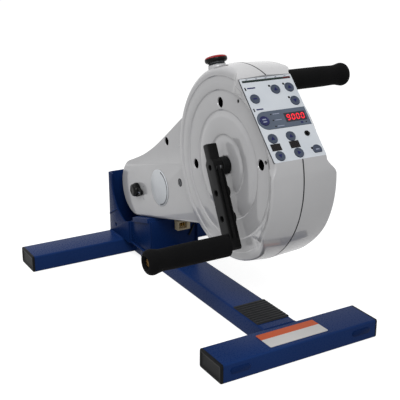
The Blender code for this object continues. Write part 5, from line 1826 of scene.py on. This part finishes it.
    def build_light_bar(self) -> None:
        """Makes the bar of diodes along the panel's top, its last four red."""
        y = self.share(0, self.bar_down)[1]
        count, wide = self.diodes, self.bar_size[0]
        pitch, red = wide / count, count - self.red_diodes
        tray = slab(*self.bar_size, 0.0009, (0, y, -0.00025), 0.0001)
        parts: list[Part] = [(set_at(tray, self.place), BLACK_GLOSS)]
        start = -wide / 2 + pitch / 2
        for low, high, finish in ((0, red, GREEN_SEGMENT), (red, count, DARK_RED)):
            bar = slab(pitch * 0.72, 0.0021, 0.0004, (0, 0, 0), 0.0001)
            place = (start + low * pitch, y, GAP)
            row = row_of(bar, high - low, finish, place, (pitch, 0, 0))
            parts.append((set_at(row, self.place), finish))
        finished("light_bar", parts, ["led_bar"])

    def build_prints(self) -> None:
        """Makes the lamps, the two small windows and the plain printed marks."""
        shapes = []
        for across, down in ((-0.2, 15.6), (23.9, 14.7), (23.5, 37.0), (24.2, 118.9)):
            lamp = rod(0.0018, -0.0004, 0.0003, 28, Axis.Z, 0.0002)
            shapes.append(self.laid(lamp, *self.at(across, down)))
        for across, down in ((-40.0, 16.8), (-40.1, 50.5)):
            slot = rounded_rectangle(0.0019, 0.005, 0.0006)
            shapes.append(self.raised(slot, -0.0004, 0.0003, *self.at(across, down)))
        parts: list[Part] = [(merged(shapes), BLACK_MOULDED)]
        finished("panel_lamps", parts)
        parts = []
        for left, top, right, bottom in ((-38.6, 104.3, -22.9, 114.8), (-8.1, 103.8, 7.6, 114.6)):
            frame_box = self.box_outline(left, top, right, bottom)
            parts.append((self.raised(frame_box, -0.0004, 0.0002), SMOKED_WINDOW))
            middle = (left + right) / 2
            for offset in (-3.2, 3.2):
                place = self.at(middle + offset, (top + bottom) / 2)
                parts.append((self.digit("abcdefg", *place, 0.0072, 0.0002), UNLIT_SEGMENT))
        finished("small_windows", parts)
        marks = []
        for left, right, down in ((-36.8, -23.5, 16.0), (-36.2, -25.0, 50.0)):
            marks.append(self.box_outline(left, down - 1.0, right, down + 1.0))
        tick = 0.4
        for across in (-32, -16, 0, 16, 32):
            marks.append(self.box_outline(across - 1.6, 2.2 - tick, across + 1.6, 2.2 + tick))
        shapes = [self.raised(mark, -0.0003, 0.00008) for mark in marks]
        finished("panel_marks", [(merged(shapes), NAVY_PRINT)])

    def build_key(self, name: str) -> None:
        """Makes a key: a soft cap with a raised rim round its sign, on its stem."""
        flat_sided, navy = name == self.flat_key, name == self.navy_key
        place, top = self.key_place(name), self.proud
        rings = []
        for inset, z in (
            (0.0047, -0.0069), (0.0047, -0.0022), (0.0, -0.0022), (0.0, top - 0.0006),
            (0.00015, top - 0.00025), (0.0005, top), (0.0012, top), (0.0016, top - 0.0003),
            (0.003, top - 0.0004), (0.005, top - 0.00045),
        ):
            outline = self.key_outline(self.key_radius - inset, flat_sided and inset < 0.004)
            rings.append([(u, v, z) for u, v in outline])
        cap = self.laid(lofted(rings), *place)
        parts: list[Part] = [(cap, NAVY_KEY if navy else SLATE_KEY)]
        sign = PALE_PRINT if navy or flat_sided else NAVY_PRINT
        for outline in self.keys[name][2].outlines():
            mark = prism(outline, top - 0.0006, top - 0.0002, Axis.Z)
            parts.append((self.laid(mark, *place), sign))
        finished(name + "_cap", parts, [name], name)

    def build_jack(self) -> None:
        """Makes the small black socket on the panel's right."""
        low = 0.0006 - 0.008
        profile = [
            (0.0018, low), (0.004, low), (0.004, 0.0008), (0.0036, 0.0012), (0.003, 0.0012),
            (0.0022, 0.0004), (0.0018, 0.0002),
        ]
        mesh = self.laid(turned(profile, 44, ring=True), *self.share(*self.jack))
        finished("jack_ring", [(mesh, BLACK_GLOSS)], ["jack_socket"])


@dataclass
class StopButton:
    """The emergency stop: a mushroom cap on a ribbed collar."""

    place: Matrix
    radius: float = 0.017
    top: float = 0.0145
    rim: float = 0.0047
    ribs: int = 24

    def build(self) -> None:
        """Builds the cap and the collar, and dresses what is under them."""
        black: Outline = [
            (0.0, 0.0121), (0.0043, 0.0121), (0.0043, 0.0103), (0.0133, 0.0103),
            (0.0133, self.rim), (self.radius - 0.0022, self.rim), (self.radius - 0.0009, 0.0057),
            (self.radius, 0.0074), (self.radius, 0.0095), (self.radius - 0.0002, 0.0101),
            (self.radius - 0.002, 0.0101), (self.radius - 0.0032, 0.0123), (0.0, 0.0123),
        ]
        red: Outline = [
            (0.0, 0.0124), (self.radius - 0.0031, 0.0124), (self.radius - 0.0019, 0.0102),
            (self.radius - 0.0001, 0.0102), (self.radius - 0.0004, 0.0112),
            (self.radius - 0.0013, 0.0123), (self.radius - 0.0028, 0.0131),
            (self.radius * 0.7, 0.0137), (self.radius * 0.48, 0.0142), (0.0, self.top),
        ]
        parts: list[Part] = [
            (set_at(turned(black, 96), self.place), BLACK_GLOSS),
            (set_at(turned(red, 96), self.place), RED_CAP),
        ]
        finished("stop_cap", parts, ["stop_button_cap"], "stop_head")
        profile: Outline = [
            (0.0043, -0.0105), (0.008, -0.0105), (0.008, 0.0003), (0.013, 0.0003),
            (0.013, 0.0011), (0.0125, 0.0018), (0.0112, 0.003), (0.0116, 0.005),
            (0.0112, 0.006), (0.0043, 0.006),
        ]
        collar = turned(profile, 96, ring=True)
        rib = slab(0.0007, 0.0011, 0.0026, (0.0117, 0, 0.0043), 0.0002)
        ribs = row_of(rib, self.ribs, ZINC_COLLAR, turn=(0, 0, 2 * math.pi / self.ribs))
        parts = [(set_at(collar, self.place), ZINC_COLLAR), (set_at(ribs, self.place), ZINC_COLLAR)]
        finished("stop_collar_ring", parts, ["stop_collar"])
        dressed(BLACK_MOULDED, "stop_button_stem", "stop_contact_block")


@dataclass
class SnoutFittings:
    """The speed dial with its scale marks, and the badge, on the snout's left face."""

    face_x: float
    dial: Pair
    radius: float = 0.0123
    depth: float = 0.0125
    nose_angle: float = 138.0
    ribs: int = 36
    marks: Pair = (152, 208)
    marks_orbit: float = 0.0245
    badge: Pair = (0.0982, 0.1655)
    badge_size: Pair = (0.064, 0.0645)
    line_radii: Pair = (0.96, 0.88)
    line_angles: Pair = (100, 262)

    def build(self) -> None:
        """Builds the dial, its marks and the badge."""
        low, high = self.face_x - GAP - self.depth, self.face_x - GAP
        y, z = self.dial
        profile: Outline = [
            (0, low + 0.0006), (0.005, low + 0.0006), (0.0056, low),
            (self.radius - 0.0042, low), (self.radius - 0.0022, low + 0.001),
            (self.radius - 0.0009, low + 0.0029), (self.radius - 0.0002, low + 0.006),
            (self.radius, low + 0.0085), (self.radius, high), (0, high),
        ]
        disc = turned(profile, 72, Axis.X)
        root = spun((0, 0), self.nose_angle, self.radius - 0.0015)
        outline = [root, (-0.0212, 0.0042), (-0.0232, 0.0022)]
        outline += [(u, -v) for u, v in reversed(outline)]
        nose = prism(softened(outline, 0.0014), high - 0.0065, high - 0.001)
        nose = rounded(nose, 0.0008, 2, 50)
        shaft = rod(0.003, low + 0.005, self.face_x + 0.0087, 24, Axis.X)
        body = carved(disc, [join(nose), join(shaft)])
        rib = slab(0.005, 0.0006, 0.0009, (high - 0.003, 0, self.radius), 0.0001)
        arcs = row_of(rib, self.ribs, BLACK_MOULDED, turn=(2 * math.pi / self.ribs, 0, 0))
        # Painted highlight: a pale line along the nose's outer face stands for the small highlights on
        # the dial
        line = slab(0.0003, 0.008, 0.001, (high - 0.0066, -0.0175, 0), 0.0001)
        place = at_point(0, y, z)
        parts: list[Part] = [
            (set_at(body, place), BLACK_GLOSS),
            (set_at(arcs, place), BLACK_GLOSS),
            (set_at(line, place), PALE_PRINT),
        ]
        finished("dial_knob", parts, ["speed_dial"], "dial")
        marks = []
        for angle in self.marks:
            mark = slab(0.0003, 0.006, 0.0012, (self.face_x - 0.0001, 0, 0), 0.0001)
            spot = spun((y, z), angle, self.marks_orbit)
            marks.append(set_at(mark, at_point(0, *spot) @ leaned(angle)))
        finished("dial_scale", [(merged(marks), GREY_PRINT)])
        dressed(BLACK_MOULDED, "dial_potentiometer")
        self.build_badge()

    def build_badge(self) -> None:
        """Makes the plain round badge with a dark line along its front."""
        back = self.face_x - GAP
        y, z = self.badge
        wide, tall = self.badge_size
        rings = []
        for out, inset in ((0.0, 0.0), (0.0007, 0.0), (0.001, 0.0002), (0.0012, 0.0006)):
            rings.append([
                (back - out, y + u * (wide / 2 - inset), z + v * (tall / 2 - inset))
                for u, v in arc((0, 0), 1.0, 0, 357.5, 143)
            ])
        line: Outline = []
        for radius, angles in zip(self.line_radii, (self.line_angles, self.line_angles[::-1])):
            for u, v in arc((0, 0), radius, *angles, 40):
                line.append((y + u * wide / 2, z + v * tall / 2))
        band = prism(line, back - 0.00125, back - 0.0008)
        parts: list[Part] = [(lofted(rings), BADGE_FILM), (band, BADGE_LINE)]
        finished("badge_disc", parts, ["badge"])


@dataclass
class CrankArm:
    """A crank arm with its hub, its spindle, its foam grip and the nut on its end.

    The hub faces are the head's left and right ones.
    """

    name: str
    side: int
    turn: float
    axis: Pair = (-0.1367, 0.268)
    inner: float = 0.0595
    thickness: float = 0.016
    width: float = 0.023
    reach: float = 0.1155
    pitch: float = 0.0385
    grip_length: float = 0.1325
    grip_radius: float = 0.0163
    waist: float = 0.0157
    rim: float = 0.0184
    nut_sink: float = 0.004
    nut_thickness: float = 0.005
    pocket: float = 0.009
    spindle_bore: float = 0.0063
    hole: float = 0.0045
    seat: float = 0.0106
    seat_floor: float = 0.0048
    groove: Pair = (0.0035, 0.005)
    hub_faces: Pair = (-0.047, 0.049)

    def build(self) -> None:
        """Builds the arm, the hub and the grip with its spindle and nut."""
        place = at_point(0, *self.axis) @ leaned(self.turn)
        self.build_arm(place)
        self.build_hub(place)
        self.build_grip(place @ at_point(0, self.reach, 0))

    def ends(self, near: float, far: float) -> list[float]:
        """Returns two places on the arm's side of the object, the lower one first."""
        return sorted((self.side * near, self.side * far))

    def outline(self) -> Outline:
        """Returns the arm's outline along it and across it, from its neck to its tip."""
        half, neck = self.width / 2, 0.0065
        tip = self.reach + 0.009
        upper: Outline = [
            (-0.0345, neck), (-0.012, neck), (-0.006, half), (tip - 0.0025, half), (tip, half - 0.0025)
        ]
        return softened(upper + [(u, -v) for u, v in reversed(upper)], 0.003)

    def build_arm(self, place: Matrix) -> None:
        """Makes the grooved arm with its bosses and chamfered holes."""
        side, inner = self.side, self.inner
        outer = inner + self.thickness
        low, high = self.ends(inner, outer)
        arm = rounded(prism(self.outline(), low, high), 0.0007, 3, 50)
        steps = []
        for index in (1, 2, 3):
            last = index == 3
            tall, radius = (0.0012, 0.0075) if last else (0.004, 0.009)
            ends = self.ends(inner + 0.0025, inner - tall)
            at = at_point(0, index * self.pitch, 0)
            steps.append(join(rod(radius, *ends, 40, Axis.X, 0.0004), at))
            if last:
                cutter = rod(self.spindle_bore, low - CUT_PAST, high + CUT_PAST, 36, Axis.X)
            else:
                cutter = self.flared(self.hole, low, high)
            steps.append(cut(cutter, at))
        ends = self.ends(inner - CUT_PAST, outer - self.seat_floor)
        steps.append(cut(rod(self.seat, *ends, 40, Axis.X)))
        ends = self.ends(inner, outer + CUT_PAST)
        steps.append(cut(rod(self.hole, *ends, 33, Axis.X)))
        length = self.reach - 0.0078
        for edge in (-1, 1):
            for track in (-1, 1):
                across = side * (inner + self.thickness / 2) + track * self.thickness / 4
                middle = (across, length / 2, edge * self.width / 2)
                steps.append(cut(slab(self.groove[0], length, self.groove[1], middle)))
        mesh = carved(arm, steps)
        back = place.inverted()
        made = finished(
            f"{self.name}_crank_arm",
            [(set_at(mesh, place), ARM_METAL)],
            [f"{self.name}_arm"],
            "crank",
        )
        # Painted shade: faces that don't face along the arm's X, its sides, take the darker colour
        made.data.materials.append(ARM_SIDE_SHADE.material())
        for face in made.data.polygons:
            normal = back.to_3x3() @ face.normal
            if abs(normal.x) < 0.6:
                face.material_index = 1

    def flared(self, radius: float, low: float, high: float) -> Mesh:
        """Returns the cutter of a hole that is chamfered at the arm's outer face."""
        outer = self.side * (self.inner + self.thickness)
        profile: Outline = [(0, outer - self.side * (high - low + 0.02))]
        profile += [(radius, profile[0][1]), (radius, outer - self.side * 0.0012)]
        profile += [(radius + 0.0016, outer + self.side * 0.0004)]
        profile += [(radius + 0.0016, outer + self.side * 0.01), (0, outer + self.side * 0.01)]
        return turned(profile, 36, Axis.X)

    def build_hub(self, place: Matrix) -> None:
        """Makes the black hub disc between the arm and the head."""
        face = self.hub_faces[self.side > 0]
        near, far = face + self.side * GAP, self.side * (self.inner - GAP)
        inward = self.side * 0.0008
        profile: Outline = [
            (0.0103, near), (0.0129, near), (0.0135, near + inward), (0.0135, far - inward),
            (0.0129, far), (0.0103, far),
        ]
        mesh = set_at(turned(profile, 72, Axis.X, ring=True), place)
        parts = [(mesh, BLACK_MOULDED)]
        finished(f"{self.name}_hub_disc", parts, [f"{self.name}_hub"], "crank")

    def build_grip(self, place: Matrix) -> None:
        """Makes the foam grip, its spindle and its nut."""
        start = self.inner + self.thickness + 2 * GAP
        end = start + self.grip_length
        length, pocket, bore = self.grip_length, self.pocket, self.spindle_bore
        key_points = [
            (0.0, self.grip_radius - 0.004), (0.0006, self.grip_radius - 0.0016),
            (0.0022, self.grip_radius - 0.0003), (0.005, self.grip_radius),
            (length * 0.35, self.grip_radius), (length - 0.05, self.grip_radius),
            (length - 0.036, self.waist + 0.0002), (length - 0.024, self.waist + 0.0001),
            (length - 0.016, self.rim - 0.0012), (length - 0.01, self.rim),
            (length - 0.006, self.rim - 0.0005), (length - 0.003, self.rim - 0.0018),
            (length - 0.001, self.rim - 0.0041), (length, self.rim - 0.0069),
        ]
        shape = through(key_points, 5)
        shape = [(min(max(along, 0.0), length), radius) for along, radius in shape]
        shoulder = end - self.nut_thickness - 2 * GAP - self.nut_sink
        profile = [(radius, start + along) for along, radius in shape]
        profile += [
            (pocket + 0.0016, end - 0.0004), (pocket + 0.0005, end - 0.003),
            (pocket, end - 0.004), (pocket, shoulder),
            (bore, shoulder), (bore, start),
        ]
        signed = [(radius, self.side * along) for radius, along in profile]
        mesh = set_at(turned(signed, 80, Axis.X, ring=True), place)
        grip = finished(
            f"{self.name}_foam_grip",
            [(mesh, FOAM)],
            [f"{self.name}_grip"],
            f"{self.name}_grip_roll",
            crease=60.0,
        )
        nut_start, thick = shoulder + GAP, self.nut_thickness
        ends = self.ends(self.inner + GAP, nut_start + thick - GAP)
        neck = sorted((self.side * (shoulder - 0.0001), ends[0 if self.side < 0 else 1]))
        inside = self.side * (shoulder - 0.0004)
        shaft = rod(0.006, *sorted((self.side * (self.inner + GAP), inside)), 48, Axis.X, 0.0005)
        thread = rod(0.0034, *neck, 36, Axis.X, 0.0005)
        parts = [(set_at(shaft, place), TURNED_STEEL), (set_at(thread, place), TURNED_BRASS)]
        finished(f"{self.name}_spindle_rod", parts, [f"{self.name}_spindle"], "crank")
        ends = self.ends(nut_start, nut_start + thick)
        hexagon = prism(arc((0, 0), 0.0064, 0, 300, 5), *ends)
        nut = rounded(hexagon, 0.0005, 2, 50)
        hole = rod(0.0037, ends[0] - CUT_PAST, ends[1] + CUT_PAST, 40, Axis.X)
        nut = set_at(carved(nut, [cut(hole)]), place)
        parts = [(nut, TURNED_BRASS)]
        finished(f"{self.name}_nut_hexagon", parts, [f"{self.name}_nut"], "crank")


def dress_drive() -> None:
    """Gives the parts inside the head their finishes."""
    dressed(PULLEY, "crank_pulley")
    dressed(BELT, "drive_belt")
    dressed(MOTOR_SHELL, "drive_motor")
    dressed(TURNED_STEEL, "motor_pulley", "crank_shaft", "left_bearing", "right_bearing")


def main() -> None:
    """Builds the studio and the object's looks, part by part."""
    logging.basicConfig(level=logging.INFO, format="%(message)s")
    Studio().build()
    head = DriveHead()
    middle = Vector((head.seam_x, head.axis_y, head.axis_z)) + head.normal() * head.console_distance
    console = Matrix.Translation(middle) @ leaned(head.console_angle - 90)
    stop_y, stop_z = head.on_side(head.stop_angle, head.radius + GAP)
    stop = at_point(head.stop_x, stop_y, stop_z) @ leaned(head.stop_angle - 90)
    Base().build()
    Bracket().build()
    head.build(stop, console)
    Console(console).build()
    StopButton(stop).build()
    SnoutFittings(head.dial_place[0], head.dial_place[1:]).build()
    CrankArm("left", -1, -116.0).build()
    CrankArm("right", 1, 64.0).build()
    dress_drive()


if __name__ == "__main__":
    main()
